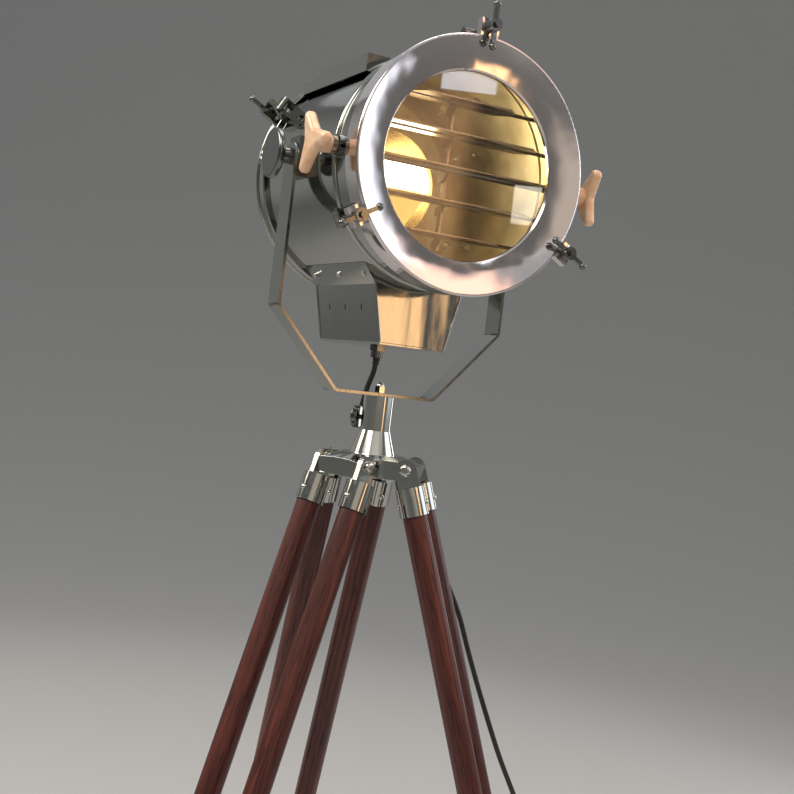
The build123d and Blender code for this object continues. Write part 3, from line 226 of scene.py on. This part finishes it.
def satin_copper_casting_painted_light():
    # Copper-plated casting, tumbled to a satin under a dull film: a soft orange-pink that mirrors little, in
    # patches browner or, where fingers have polished it, brighter, with a fine sandy grain that is drawn
    # coarser than it is. The whole colour is painted paler than copper, as painted light, for the strong
    # light on the knobs' faces.
    material, tree, shader, place = new_finish("satin_copper_casting_painted_light", Metallic=0.35)
    handling = add(tree, "ShaderNodeTexNoise", {"Vector": place, "Scale": per_mm(16), "Detail": 3.0})
    # Painted light: these stops are much paler than copper, for the strong light on the knobs; the patches
    # are the knobs' own wear
    tone = add(
        tree, "ShaderNodeValToRGB", {"Fac": handling.outputs["Fac"]},
        stops=[(0.3, "#ecbd96"), (0.55, "#fad2ac"), (0.75, "#ffe4c8")],
    )
    tree.links.new(tone.outputs["Color"], shader.inputs["Base Color"])
    sand = add(tree, "ShaderNodeTexNoise", {"Vector": place, "Scale": per_mm(1.1), "Detail": 2.0})
    satin = add(
        tree, "ShaderNodeMapRange",
        {"Value": sand.outputs["Fac"], "From Min": 0.3, "From Max": 0.7, "To Min": 0.36, "To Max": 0.5},
    )
    tree.links.new(satin.outputs["Result"], shader.inputs["Roughness"])
    bump = add(
        tree, "ShaderNodeBump",
        {"Height": sand.outputs["Fac"], "Strength": 0.35, "Distance": 0.15 * MM},
    )
    tree.links.new(bump.outputs["Normal"], shader.inputs["Normal"])
    return material


def lacquered_mahogany(leg):
    # Mahogany planed to flats, stained dark red and sprayed with clear lacquer: straight grain of brown-black
    # pores along the leg, drawn 1.4 mm apart where real ones are closer, a slow ribbon of lighter and darker
    # wood, and a wet shine.
    material, tree, shader, place = new_finish(
        "lacquered_mahogany_" + leg, IOR=1.45, Specular_IOR_Level=0.35,
        Coat_Weight=0.35, Coat_Roughness=0.06, Coat_IOR=1.5,
    )
    to_upright = leg_axis(leg).rotation_difference(Vector((0, 0, 1))).to_euler()
    lengthwise = add(tree, "ShaderNodeMapping", {"Vector": place, "Rotation": to_upright})
    drawn = add(tree, "ShaderNodeMapping", {"Vector": lengthwise.outputs["Vector"], "Scale": (1, 1, 0.035)})
    ribbon = add(
        tree, "ShaderNodeTexNoise",
        {"Vector": drawn.outputs["Vector"], "Scale": per_mm(9), "Detail": 4.0, "Distortion": 0.4},
    )
    pores = add(
        tree, "ShaderNodeTexNoise",
        {"Vector": drawn.outputs["Vector"], "Scale": per_mm(1.4), "Detail": 2.0},
    )
    wood = add(
        tree, "ShaderNodeValToRGB", {"Fac": ribbon.outputs["Fac"]},
        stops=[(0.3, "#3c1812"), (0.5, "#52231b"), (0.7, "#6b3328")],
    )
    pitted = add(
        tree, "ShaderNodeValToRGB", {"Fac": pores.outputs["Fac"]},
        stops=[(0.36, "#6b5750"), (0.46, "#ffffff")],
    )
    grain = add(tree, "ShaderNodeMix", {"Factor": 1.0}, data_type="RGBA", blend_type="MULTIPLY")
    tree.links.new(wood.outputs["Color"], grain.inputs["A"])
    tree.links.new(pitted.outputs["Color"], grain.inputs["B"])
    tree.links.new(grain.outputs["Result"], shader.inputs["Base Color"])
    sheen = add(
        tree, "ShaderNodeMapRange",
        {"Value": ribbon.outputs["Fac"], "From Min": 0.3, "From Max": 0.7, "To Min": 0.42, "To Max": 0.55},
    )
    tree.links.new(sheen.outputs["Result"], shader.inputs["Roughness"])
    bump = add(
        tree, "ShaderNodeBump",
        {"Height": pores.outputs["Fac"], "Strength": 0.2, "Distance": 0.1 * MM},
    )
    tree.links.new(bump.outputs["Normal"], shader.inputs["Normal"])
    return material


def moulded_pvc(name, shade, grit):
    # Black PVC or rubber, extruded or moulded: a soft low shine, and a little dust in a fine matt grain that
    # is drawn coarser than it is.
    material, tree, shader, place = new_finish(name, IOR=1.53)
    grain = add(tree, "ShaderNodeTexNoise", {"Vector": place, "Scale": per_mm(grit), "Detail": 3.0})
    dust = add(
        tree, "ShaderNodeValToRGB", {"Fac": grain.outputs["Fac"]},
        stops=[(0.4, shade), (0.75, "#34332f")],
    )
    tree.links.new(dust.outputs["Color"], shader.inputs["Base Color"])
    matt = add(
        tree, "ShaderNodeMapRange",
        {"Value": grain.outputs["Fac"], "From Min": 0.3, "From Max": 0.7, "To Min": 0.36, "To Max": 0.52},
    )
    tree.links.new(matt.outputs["Result"], shader.inputs["Roughness"])
    bump = add(
        tree, "ShaderNodeBump",
        {"Height": grain.outputs["Fac"], "Strength": 0.2, "Distance": 0.1 * MM},
    )
    tree.links.new(bump.outputs["Normal"], shader.inputs["Normal"])
    return material


def glazed_porcelain():
    # Lamp-holder porcelain, pressed and glazed: a slightly clouded warm off-white under a clear glassy skin.
    material, tree, shader, place = new_finish(
        "glazed_porcelain", IOR=1.5, Roughness=0.14, Coat_Weight=0.5, Coat_Roughness=0.05
    )
    body = add(tree, "ShaderNodeTexNoise", {"Vector": place, "Scale": per_mm(20), "Detail": 3.0})
    tone = add(
        tree, "ShaderNodeValToRGB", {"Fac": body.outputs["Fac"]},
        stops=[(0.35, "#cfc8b8"), (0.7, "#e6e0d2")],
    )
    tree.links.new(tone.outputs["Color"], shader.inputs["Base Color"])
    return material


def float_glass():
    # Flat float glass: quite clear, mirror-smooth, with the faintest dust film that catches light.
    material, tree, shader, place = new_finish("float_glass", IOR=1.5, Transmission_Weight=1.0)
    shader.inputs["Base Color"].default_value = colour("#fbfaf5")
    film = add(tree, "ShaderNodeTexNoise", {"Vector": place, "Scale": per_mm(60), "Detail": 4.0})
    dusty = add(
        tree, "ShaderNodeMapRange",
        {"Value": film.outputs["Fac"], "From Min": 0.5, "From Max": 0.8, "To Min": 0.0, "To Max": 0.03},
    )
    tree.links.new(dusty.outputs["Result"], shader.inputs["Roughness"])
    return material


def lit_opal_glass():
    # Blown opal glass with the lamp alight inside: white-hot round the filament, and a yellow glow above and
    # below it.
    material, tree, shader, place = new_finish("lit_opal_glass", IOR=1.5, Roughness=0.2)
    shader.inputs["Base Color"].default_value = colour("#f4ead2")
    height = add(tree, "ShaderNodeSeparateXYZ", {"Vector": place}).outputs["Z"]
    from_filament = add(tree, "ShaderNodeMath", {0: height, 1: FILAMENT_HEIGHT * MM}, operation="SUBTRACT")
    spread = add(tree, "ShaderNodeMath", {0: from_filament.outputs["Value"]}, operation="ABSOLUTE")
    near = add(
        tree, "ShaderNodeMapRange",
        {
            "Value": spread.outputs["Value"], "From Min": HOT_BAND * MM, "From Max": GLOW_BAND * MM,
            "To Min": 1.0, "To Max": 0.0,
        },
        interpolation_type="SMOOTHSTEP",
    )
    glow = add(
        tree, "ShaderNodeValToRGB", {"Fac": near.outputs["Result"]},
        stops=[(0.0, "#dcaf58"), (0.5, "#ffe6a4"), (1.0, "#fff6e4")],
    )
    tree.links.new(glow.outputs["Color"], shader.inputs["Emission Color"])
    heat = add(
        tree, "ShaderNodeMapRange",
        {"Value": near.outputs["Result"], "To Min": 1.2, "To Max": 14.0},
    )
    tree.links.new(heat.outputs["Result"], shader.inputs["Emission Strength"])
    return material


# Finishes. Plate has its shade, how wide and how deep it waves in millimetres, its haze, and how its waves
# are drawn out. Every part has the same chrome plate; its shade is painted darker on the flat bar, as painted
# shade, and lighter on the turned steel, as painted light
chrome_sheet = chrome_plate("chrome_plated_rolled_sheet", "#a5a7a1", 90, 0.3, 0.05)
chrome_box = chrome_plate("chrome_plated_folded_sheet", "#a9aaa4", 26, 0.5, 0.06, (1, 1, 0.16))
# Painted shade: the yoke's flat bar has a darker chrome than the rest
chrome_bar_painted_shade = chrome_plate("chrome_plated_flat_bar_painted_darker", "#93958f", 60, 0.2, 0.09)
chrome_casting = chrome_plate("chrome_plated_casting", "#b9bab3", 22, 0.25, 0.07)
# Painted light: the post, bolts and screws have a lighter chrome than the rest
chrome_turned_painted_light = chrome_plate("chrome_plated_turned_steel_painted_lighter", "#d2d1c8", 20, 0.03, 0.06)
chrome_dark = chrome_plate("black_chrome_casting", "#787a77", 8, 0.05, 0.1)
aluminium = polished_aluminium_casting()
brass = lacquered_brass("lacquered_rolled_brass", ("#ab9b72", "#d2c193", "#e6dab6"), 0.32)
spun_brass = lacquered_brass("lacquered_spun_brass", ("#6f5b34", "#927a48", "#ab9562"), 0.22)
bronzed = bronzed_steel_strip()
copper = satin_copper_casting_painted_light()
porcelain = glazed_porcelain()
clear_glass = float_glass()
opal_glass = lit_opal_glass()
cord_pvc = moulded_pvc("extruded_black_pvc", "#151514", 1.2)
plug_pvc = moulded_pvc("moulded_black_pvc", "#181817", 1.6)
foot_rubber = moulded_pvc("moulded_black_rubber", "#1b1a19", 2.2)

finishes = {
    "hub": chrome_casting, "neck_post": chrome_turned_painted_light, "pan_bolt": chrome_turned_painted_light,
    "hinge_bolts": chrome_turned_painted_light, "plug": plug_pvc, "pan_lock": chrome_dark, "yoke": chrome_bar_painted_shade,
    "tilt_knob_left": chrome_dark, "tilt_knob_right": chrome_dark,
    "drum": chrome_sheet, "rear_cover": chrome_sheet, "bezel_ring": aluminium, "glass": clear_glass,
    "glass_ring": brass, "vent_hood": chrome_sheet, "lamp_box": chrome_box, "box_plate": chrome_box,
    "box_screws": chrome_turned_painted_light, "cable_gland": chrome_dark, "reflector": spun_brass,
    "lamp_socket": porcelain, "bulb": opal_glass, "shutter_frame": brass, "drum_bosses": chrome_dark,
    "clamp_clevises": chrome_dark, "link_bar": bronzed, "shutter_knobs": copper,
}
# Five slats, and as many clamps
for number in range(1, 6):
    finishes["slat_%d" % number] = bronzed
    finishes["swing_bolt_%d" % number] = chrome_dark
    finishes["wing_nut_%d" % number] = chrome_dark
for leg in LEG_HEADINGS:
    finishes["leg_%s_rails" % leg] = lacquered_mahogany(leg)
    finishes["leg_%s_lower" % leg] = finishes["leg_%s_rails" % leg]
    finishes["leg_%s_fittings" % leg] = chrome_casting
    finishes["leg_%s_screw" % leg] = chrome_turned_painted_light
    finishes["leg_%s_foot" % leg] = foot_rubber
for name, finish in finishes.items():
    slots = nodes[name].data.materials
    slots.clear()
    slots.append(finish)

# Only the outside of the drum and its cover is plated: faces inside that look at the axis or to the front are
# bare brass under lacquer
FRONTWARD = 0.5
for name in ("drum", "rear_cover"):
    shell = nodes[name].data
    shell.materials.append(brass)
    for face in shell.polygons:
        from_axis = Vector((face.center.x, 0, face.center.z - PIVOT_HEIGHT * MM))
        inside = from_axis.length < (DRUM_RADIUS - DRUM_WALL / 2) * MM
        if inside and (face.normal.dot(from_axis) < 0 or face.normal.y < -FRONTWARD):
            face.material_index = 1

# Millimetres within which points are one: a CAD node's, and a turned form's where it closes on itself
JOIN_WITHIN, SAME_PLACE = 0.02, 0.001
# Degrees: faces this nearly level are one flat, and edges past these are eased, or drawn sharp
LEVEL_WITHIN, EASED_ANGLE, SHARP_ANGLE = 0.5, 30.0, 40.0


def join_faces(name):
    """Joins a CAD node's faces along their edges; the node's own points stay where they are."""
    weld = nodes[name].modifiers.new("joined_faces", "WELD")
    weld.merge_threshold = JOIN_WITHIN * MM


def ease_edges(name, width, segments):
    """Rounds a CAD node's sharp edges as filing and polishing do."""
    join_faces(name)
    flats = nodes[name].modifiers.new("whole_flats", "DECIMATE")
    flats.decimate_type = "DISSOLVE"
    flats.angle_limit = math.radians(LEVEL_WITHIN)
    eased = nodes[name].modifiers.new("eased_edges", "BEVEL")
    eased.width = width * MM
    eased.segments = segments
    eased.limit_method = "ANGLE"
    eased.angle_limit = math.radians(EASED_ANGLE)
    eased.harden_normals = True


# How wide each edge is eased, in millimetres, and in how many facets
for leg in LEG_HEADINGS:
    ease_edges("leg_%s_rails" % leg, 5.0, 4)
    ease_edges("leg_%s_lower" % leg, 2.5, 3)
ease_edges("yoke", 0.8, 2)
ease_edges("lamp_box", 0.6, 2)
ease_edges("box_plate", 0.6, 2)
ease_edges("hub", 2.2, 4)

# The spun cover's crown is one smooth face up to its middle
join_faces("rear_cover")
crown = nodes["rear_cover"].modifiers.new("smooth_crown", "WEIGHTED_NORMAL")
crown.keep_sharp = True


def dress(name, mesh, finish, body=None):
    """A piece made from its mesh: rounded faces smooth, its finish, and the body that it moves with."""
    data = bpy.data.meshes.new(name)
    mesh.to_mesh(data)
    mesh.free()
    for face in data.polygons:
        face.use_smooth = True
    data.set_sharp_from_angle(angle=math.radians(SHARP_ANGLE))
    data.materials.append(finish)
    made = bpy.data.objects.new(name, data)
    bpy.context.scene.collection.objects.link(made)
    if body:
        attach(made, body)
    return made


def turned(mesh, profile, place, facing, sides):
    """Adds a lathe's form to a mesh: (radius, height) pairs in millimetres along a line from a place."""
    across = facing.orthogonal().normalized()
    other = facing.cross(across)
    rings = []
    for radius, height in profile:
        ring = []
        for step in range(sides if radius else 1):
            angle = 2 * math.pi * step / sides
            out = across * math.cos(angle) + other * math.sin(angle)
            ring.append(mesh.verts.new((place + facing * height + out * radius) * MM))
        rings.append(ring)
    for one, two in zip(rings, rings[1:]):
        for step in range(sides):
            corners = [one[step % len(one)], one[(step + 1) % sides % len(one)]]
            corners += [two[(step + 1) % sides % len(two)], two[step % len(two)]]
            mesh.faces.new(list(dict.fromkeys(corners)))


# Nuts and bolt ends inside the drum, where the hood, the side plates and the clamps are bolted through:
# degrees up from level on either side, and how far behind the tilt axis
INSIDE_NUTS = [(55, -19), (55, 78), (26, 52), (26, 101), (19, 96), (-26, 52), (-26, 101)]
NUT_SIDES, BOLT_SIDES = 6, 16
HEX_NUT = [(6.4, -0.3), (6.4, 3.2), (5.5, 4.2), (3.0, 4.2)]
BOLT_END = [(3.1, 0.0), (3.1, 6.6), (2.3, 7.6), (0, 7.8)]
mesh = bmesh.new()
for degrees, behind in INSIDE_NUTS:
    for side in (1, -1):
        angle = math.radians(degrees)
        out = Vector((side * math.cos(angle), 0, math.sin(angle)))
        place = Vector((0, behind, PIVOT_HEIGHT)) + out * (DRUM_RADIUS - DRUM_WALL)
        turned(mesh, HEX_NUT, place, -out, NUT_SIDES)
        turned(mesh, BOLT_END, place, -out, BOLT_SIDES)
dress("inside_nuts", mesh, chrome_turned_painted_light, "head")

# A rolled bead stiffens the reflector's rim
reflector_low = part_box("reflector")[0]
REFLECTOR_RADIUS, BEAD_RADIUS, BEAD_STEPS, RIM_SIDES = 72.0, 1.5, 12, 96
bead = []
for step in range(BEAD_STEPS + 1):
    angle = 2 * math.pi * step / BEAD_STEPS
    bead.append((REFLECTOR_RADIUS + BEAD_RADIUS * math.cos(angle), BEAD_RADIUS * math.sin(angle)))
mesh = bmesh.new()
turned(mesh, bead, Vector((0, reflector_low[1] / MM, PIVOT_HEIGHT)), Vector((0, 1, 0)), RIM_SIDES)
bmesh.ops.remove_doubles(mesh, verts=mesh.verts, dist=SAME_PLACE * MM)
dress("reflector_bead", mesh, spun_brass, "head")

# Dome-headed screws hold each rail in its ferrule, front and back
DOME_SCREW, SCREW_SIDES = [(3.6, -0.4), (3.6, 0.7), (3.0, 1.6), (1.8, 2.2), (0, 2.4)], 20
for leg, degrees in LEG_HEADINGS.items():
    down = leg_axis(leg)
    heading = math.radians(degrees)
    across = Vector((-math.sin(heading), math.cos(heading), 0))
    outward = down.cross(across)
    hinge = Vector((HINGE_REACH * math.cos(heading), HINGE_REACH * math.sin(heading), HINGE_HEIGHT))
    mesh = bmesh.new()
    for side in (1, -1):
        middle = hinge + down * FERRULE_MIDDLE + across * side * RAIL_SET
        for facing in (outward, -outward):
            turned(mesh, DOME_SCREW, middle + facing * FERRULE_RADIUS, facing, SCREW_SIDES)
    dress("leg_%s_ferrule_screws" % leg, mesh, chrome_turned_painted_light, "leg_" + leg)

# The lead: the route's points, then the coil's turns as more points of the same line
LEAD_ROUTE = [
    (0, 20, 1159), (0, 20, 1134), (-4.4, 28, 1110), (-4.72, 33.6, 1094), (-5.12, 40.6, 1074),
    (2.5, 45.5, 1054.5), (19, 45, 1040), (37, 36, 1029.5), (48, 24, 1012), (53, 21, 985),
    (68, 22.5, 944), (100, 2, 906), (140, -20, 838), (173.5, -20, 757), (207.8, -28, 676.5),
    (236, -25, 623), (267, -20, 574), (312, -10, 502), (356, 4, 422), (392, 24, 334),
    (418, 52, 244), (436, 88, 158), (448, 134, 82), (456, 196, 30), (460, 262, 3.5), (450, 326, 3.5),
]
COIL_RADIUS, COIL_PITCH, TAIL_RUN = 43.0, 7.8, 36.0
LAYER_QUARTERS, COIL_QUARTERS, POINTS_PER_QUARTER = 8, 17, 4
lead_points = [Vector(point) for point in LEAD_ROUTE]
onto_coil = (lead_points[-1] - lead_points[-2]).normalized()
aside = Vector((onto_coil.y, -onto_coil.x, 0))
coil_middle = lead_points[-1] + onto_coil * (2 * CORD_RADIUS) - aside * COIL_RADIUS
for step in range(COIL_QUARTERS * POINTS_PER_QUARTER + 1):
    quarter = step / POINTS_PER_QUARTER
    turn = math.pi / 2 * quarter
    radius = COIL_RADIUS - COIL_PITCH * min(quarter, 2 * LAYER_QUARTERS - quarter) / 4
    climbed = COIL_PITCH * min(max(quarter - LAYER_QUARTERS + 1, 0), 2) / 2
    out = aside * math.cos(turn) + onto_coil * math.sin(turn)
    lead_points.append(coil_middle + out * radius + Vector((0, 0, climbed)))
lead_points.append(lead_points[-1] - aside * TAIL_RUN)


def lead_line():
    """The points that the lead follows, read from one smooth spline through the route."""
    line = bpy.data.curves.new("lead_line", "CURVE")
    line.dimensions = "3D"
    spline = line.splines.new("NURBS")
    spline.points.add(len(lead_points) - 1)
    for point, place in zip(spline.points, lead_points):
        point.co = (*(place * MM), 1)
    spline.order_u = 3
    spline.use_endpoint_u = True
    spline.resolution_u = 16
    holder = bpy.data.objects.new("lead_line", line)
    bpy.context.scene.collection.objects.link(holder)
    traced = bpy.data.meshes.new_from_object(holder.evaluated_get(bpy.context.evaluated_depsgraph_get()))
    points = [vertex.co.copy() for vertex in traced.vertices]
    bpy.data.objects.remove(holder)
    bpy.data.meshes.remove(traced)
    return points


def tube(name, path, radii, finish, around=16):
    """A closed round tube along a path, with a radius at each point."""
    mesh = bmesh.new()
    way = (path[1] - path[0]).normalized()
    across = way.orthogonal().normalized()
    rings = []
    for number, point in enumerate(path):
        before, after = path[max(number - 1, 0)], path[min(number + 1, len(path) - 1)]
        onward = (after - before).normalized()
        across = way.rotation_difference(onward) @ across
        way = onward
        other = way.cross(across)
        ring = []
        for step in range(around):
            angle = 2 * math.pi * step / around
            offset = across * math.cos(angle) + other * math.sin(angle)
            ring.append(mesh.verts.new(point + offset * radii[number]))
        rings.append(ring)
    for one, two in zip(rings, rings[1:]):
        for step in range(around):
            nxt = (step + 1) % around
            mesh.faces.new((one[step], one[nxt], two[nxt], two[step]))
    mesh.faces.new(list(reversed(rings[0])))
    mesh.faces.new(rings[-1])
    return dress(name, mesh, finish)


# The lead is three pieces, cut at these heights above the pan bolt and above the legs' ears: one by the head,
# one down the post, and one that stays with the tripod
HEAD_END, YOKE_END = 1062.0, 990.0
line = lead_line()
head_count = next(number for number, point in enumerate(line) if point.z < HEAD_END * MM)
yoke_count = next(number for number, point in enumerate(line) if point.z < YOKE_END * MM)
cord_radius = CORD_RADIUS * MM
top_path = line[: head_count + 1]
post_path = line[head_count : yoke_count + 1]
floor_path = line[yoke_count:]
lead_top = tube("lead_top", top_path, [cord_radius] * len(top_path), cord_pvc)
lead_post = tube("lead_post", post_path, [cord_radius] * len(post_path), cord_pvc)
lead_floor = tube("lead_floor", floor_path, [cord_radius] * len(floor_path), cord_pvc)

# The moulded relief where the lead leaves the gland, ribbed and tapering
RELIEF_TOP, RELIEF_FOOT, RELIEF_SIDES = 1157.0, 1136.0, 24
RELIEF_RADIUS, RELIEF_TIP, RIB = 6.4, 4.3, 0.7
relief_path = [point for point in line if RELIEF_FOOT * MM < point.z < RELIEF_TOP * MM]
relief_radii = []
for number in range(len(relief_path)):
    share = number / (len(relief_path) - 1)
    relief_radii.append((RELIEF_RADIUS + (RELIEF_TIP - RELIEF_RADIUS) * share - RIB * (number % 2)) * MM)
lead_relief = tube("lead_relief", relief_path, relief_radii, plug_pvc, RELIEF_SIDES)

# Two flat ties round the coil, at these degrees on from where the lead meets it
TIE_DEGREES = (205, 335)
TIE_WIDTH, TIE_THICKNESS, TIE_CORNER, TIE_STEPS = 7.0, 0.9, 4.0, 32
TIE_LOW, TIE_HIGH, TIE_INSIDE, TIE_OUTSIDE = 0.9, 15.0, 23.6, 47.0
for number, degrees in enumerate(TIE_DEGREES):
    angle = math.radians(degrees)
    out = aside * math.cos(angle) + onto_coil * math.sin(angle)
    along = Vector((-out.y, out.x, 0))
    foot = Vector((coil_middle.x, coil_middle.y, 0))
    mesh = bmesh.new()
    rings = []
    for step in range(TIE_STEPS):
        turn = 2 * math.pi * step / TIE_STEPS
        outer, upper = math.cos(turn) > 0, math.sin(turn) > 0
        reach = TIE_OUTSIDE - TIE_CORNER if outer else TIE_INSIDE + TIE_CORNER
        rise = TIE_HIGH - TIE_CORNER if upper else TIE_LOW + TIE_CORNER
        ring = []
        for grown, aside_by in ((0, -1), (TIE_THICKNESS, -1), (TIE_THICKNESS, 1), (0, 1)):
            corner = TIE_CORNER + grown
            place = foot + out * (reach + corner * math.cos(turn)) + along * (aside_by * TIE_WIDTH / 2)
            place.z = rise + corner * math.sin(turn)
            ring.append(mesh.verts.new(place * MM))
        rings.append(ring)
    for one, two in zip(rings, rings[1:] + rings[:1]):
        for step in range(len(one)):
            nxt = (step + 1) % len(one)
            mesh.faces.new((one[step], one[nxt], two[nxt], two[step]))
    dress("lead_tie_%d" % (number + 1), mesh, plug_pvc, "tripod")

# Folded hems down the corners of the lamp box
HEM_RADIUS, HEM_SIDES = 1.5, 12
for end, behind in (("front", BOX_FRONT), ("rear", BOX_REAR)):
    for hand, side in (("left", -1), ("right", 1)):
        hem = [Vector((side * half, behind, height)) * MM for half, height in (BOX_FOOT, BOX_SHOULDER)]
        piece = tube("box_hem_%s_%s" % (end, hand), hem, [HEM_RADIUS * MM] * 2, chrome_box, HEM_SIDES)
        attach(piece, "head")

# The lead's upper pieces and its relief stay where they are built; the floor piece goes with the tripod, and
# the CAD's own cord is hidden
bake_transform(lead_top)
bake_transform(lead_relief)
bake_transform(lead_post)
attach(lead_floor, "tripod")
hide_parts("cord_top")
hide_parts("cord_main", "cord_coil")

# Studio: a pale floor that sweeps up into a grey wall all round, so that no edge shows behind the lamp
FLAT_RADIUS, SWEEP_RADIUS, WALL_HEIGHT = 3600.0, 2200.0, 4200.0
SWEEP_STEPS, COVE_SIDES = 12, 96
PALE_WITHIN, GREY_BEYOND = 2400.0, 6200.0


def studio_cove():
    """The floor and its wall in matt paint, which mirrors nothing: paler underfoot than round about."""
    profile = [(FLAT_RADIUS, 0.0)]
    for step in range(1, SWEEP_STEPS + 1):
        angle = math.pi / 2 * step / SWEEP_STEPS
        reach = FLAT_RADIUS + SWEEP_RADIUS * math.sin(angle)
        profile.append((reach, SWEEP_RADIUS * (1 - math.cos(angle))))
    profile.append((FLAT_RADIUS + SWEEP_RADIUS, WALL_HEIGHT))
    mesh = bmesh.new()
    middle = mesh.verts.new((0, 0, 0))
    rings = []
    for radius, height in profile:
        ring = []
        for step in range(COVE_SIDES):
            angle = 2 * math.pi * step / COVE_SIDES
            place = Vector((radius * math.cos(angle), radius * math.sin(angle), height))
            ring.append(mesh.verts.new(place * MM))
        rings.append(ring)
    for step in range(COVE_SIDES):
        nxt = (step + 1) % COVE_SIDES
        mesh.faces.new((middle, rings[0][step], rings[0][nxt]))
        for one, two in zip(rings, rings[1:]):
            mesh.faces.new((one[step], two[step], two[nxt], one[nxt]))
    for face in mesh.faces:
        face.smooth = True
    data = bpy.data.meshes.new("studio_cove")
    mesh.to_mesh(data)
    mesh.free()
    made = bpy.data.objects.new("studio_cove", data)
    bpy.context.scene.collection.objects.link(made)
    material, tree, shader, place = new_finish("painted_studio_floor", Roughness=0.85, IOR=1.45)
    reach = add(tree, "ShaderNodeVectorMath", {0: place}, operation="LENGTH")
    share = add(
        tree, "ShaderNodeMapRange",
        {"Value": reach.outputs["Value"], "From Min": PALE_WITHIN * MM, "From Max": GREY_BEYOND * MM},
        interpolation_type="SMOOTHSTEP",
    )
    paint = add(
        tree, "ShaderNodeValToRGB", {"Fac": share.outputs["Result"]},
        stops=[(0.0, "#c2c1be"), (0.5, "#a9aaa9"), (1.0, "#9b9d9d")],
    )
    tree.links.new(paint.outputs["Color"], shader.inputs["Base Color"])
    data.materials.append(material)


def softbox(name, azimuth, rise, away, size, brightness, shade, edge=0.3):
    """A cloth-fronted lamp that faces the drum, dimmer towards its edges as such cloth is."""
    azimuth, rise = math.radians(azimuth), math.radians(rise)
    way = Vector((math.cos(azimuth) * math.cos(rise), math.sin(azimuth) * math.cos(rise), math.sin(rise)))
    data = bpy.data.lights.new(name, "AREA")
    data.shape = "RECTANGLE"
    data.size, data.size_y = size
    data.energy = brightness * math.pi * size[0] * size[1]
    data.color = colour(shade)[:3]
    data.use_nodes = True
    tree = data.node_tree
    spot = add(tree, "ShaderNodeNewGeometry").outputs["Parametric"]
    from_middle = add(tree, "ShaderNodeVectorMath", {0: spot, 1: (0.5, 0.5, 0)}, operation="SUBTRACT")
    spread = add(tree, "ShaderNodeVectorMath", {0: from_middle.outputs["Vector"]}, operation="ABSOLUTE")
    sides = add(tree, "ShaderNodeSeparateXYZ", {"Vector": spread.outputs["Vector"]})
    outermost = add(
        tree, "ShaderNodeMath",
        {0: sides.outputs["X"], 1: sides.outputs["Y"]}, operation="MAXIMUM",
    )
    dimmed = add(
        tree, "ShaderNodeMapRange",
        {
            "Value": outermost.outputs["Value"], "From Min": 0.5, "From Max": 0.5 - edge,
            "To Min": 0.0, "To Max": 1.0,
        },
        interpolation_type="SMOOTHSTEP",
    )
    tree.links.new(dimmed.outputs["Result"], tree.nodes["Emission"].inputs["Strength"])
    lamp = bpy.data.objects.new(name, data)
    lamp.location = Vector((0, 0, PIVOT_HEIGHT * MM)) + way * away
    lamp.rotation_euler = (-way).to_track_quat("-Z", "Y").to_euler()
    lamp.visible_camera = False
    bpy.context.scene.collection.objects.link(lamp)


studio_cove()
# Lamps: degrees round from the right, degrees up, metres from the drum, width and height in metres,
# brightness, colour, and how much of the cloth dims towards its edge
softbox("right_bank", -20, 12, 2.9, (2.6, 2.4), 2.2, "#eaf1ff")
softbox("pink_bank", -50, 38, 2.9, (2.2, 1.6), 1.7, "#ffbf9e")
softbox("warm_strip", -66, 3, 3.0, (0.5, 1.5), 2.6, "#ffc68c", 0.2)
softbox("pale_card", -57.8, 7.6, 3.0, (0.1, 0.14), 6.0, "#fff6e6", 0.05)
softbox("blue_card", -62.6, 15.6, 3.0, (0.2, 0.12), 6.0, "#dfe9ff", 0.05)
softbox("white_strip", 20, 0, 2.9, (0.4, 2.2), 5.0, "#ffffff")
softbox("key_bank", -155, 38, 3.3, (2.4, 1.8), 8.0, "#fff8f0")
softbox("front_bank", -104, 12, 3.4, (3.6, 2.6), 0.5, "#ffecd8")
softbox("top_bank", 60, 78, 2.8, (2.4, 2.4), 3.0, "#ffffff")
softbox("back_left_bank", 112, 8, 3.4, (3.0, 2.6), 0.2, "#f2f4ee")
softbox("left_rim_bank", 148, 26, 3.2, (1.6, 1.6), 10.0, "#fff2e4")
softbox("back_right_bank", 35, 30, 3.4, (1.6, 1.6), 1.2, "#fff4e8")

world = bpy.data.worlds.new("studio_air")
world.use_nodes = True
world.node_tree.nodes["Background"].inputs["Color"].default_value = colour("#b4b6b8")
world.node_tree.nodes["Background"].inputs["Strength"].default_value = 1.0
bpy.context.scene.world = world

# Camera where the photograph was taken from, tipped as it was held
FOCAL_PIXELS, FRAME_PIXELS, SENSOR = 1222.91, 794, 36.0
YAW, PITCH, ROLL = math.radians(27.48), math.radians(-0.8), math.radians(6.77)
CAMERA_PLACE = Vector((-711.6, -1418.1, 1121.5))
forward = Vector((math.sin(YAW) * math.cos(PITCH), math.cos(YAW) * math.cos(PITCH), math.sin(PITCH)))
level = Vector((math.cos(YAW), -math.sin(YAW), 0))
upright = level.cross(forward)
right = level * math.cos(ROLL) + upright * math.sin(ROLL)
up = upright * math.cos(ROLL) - level * math.sin(ROLL)
camera_data = bpy.data.cameras.new("photograph_camera")
camera_data.sensor_width = SENSOR
camera_data.lens = FOCAL_PIXELS / FRAME_PIXELS * SENSOR
camera = bpy.data.objects.new("photograph_camera", camera_data)
held = Matrix((right, up, -forward)).transposed().to_4x4()
camera.matrix_world = Matrix.Translation(CAMERA_PLACE * MM) @ held
bpy.context.scene.collection.objects.link(camera)
bpy.context.scene.camera = camera
bpy.context.scene.view_settings.view_transform = "Standard"
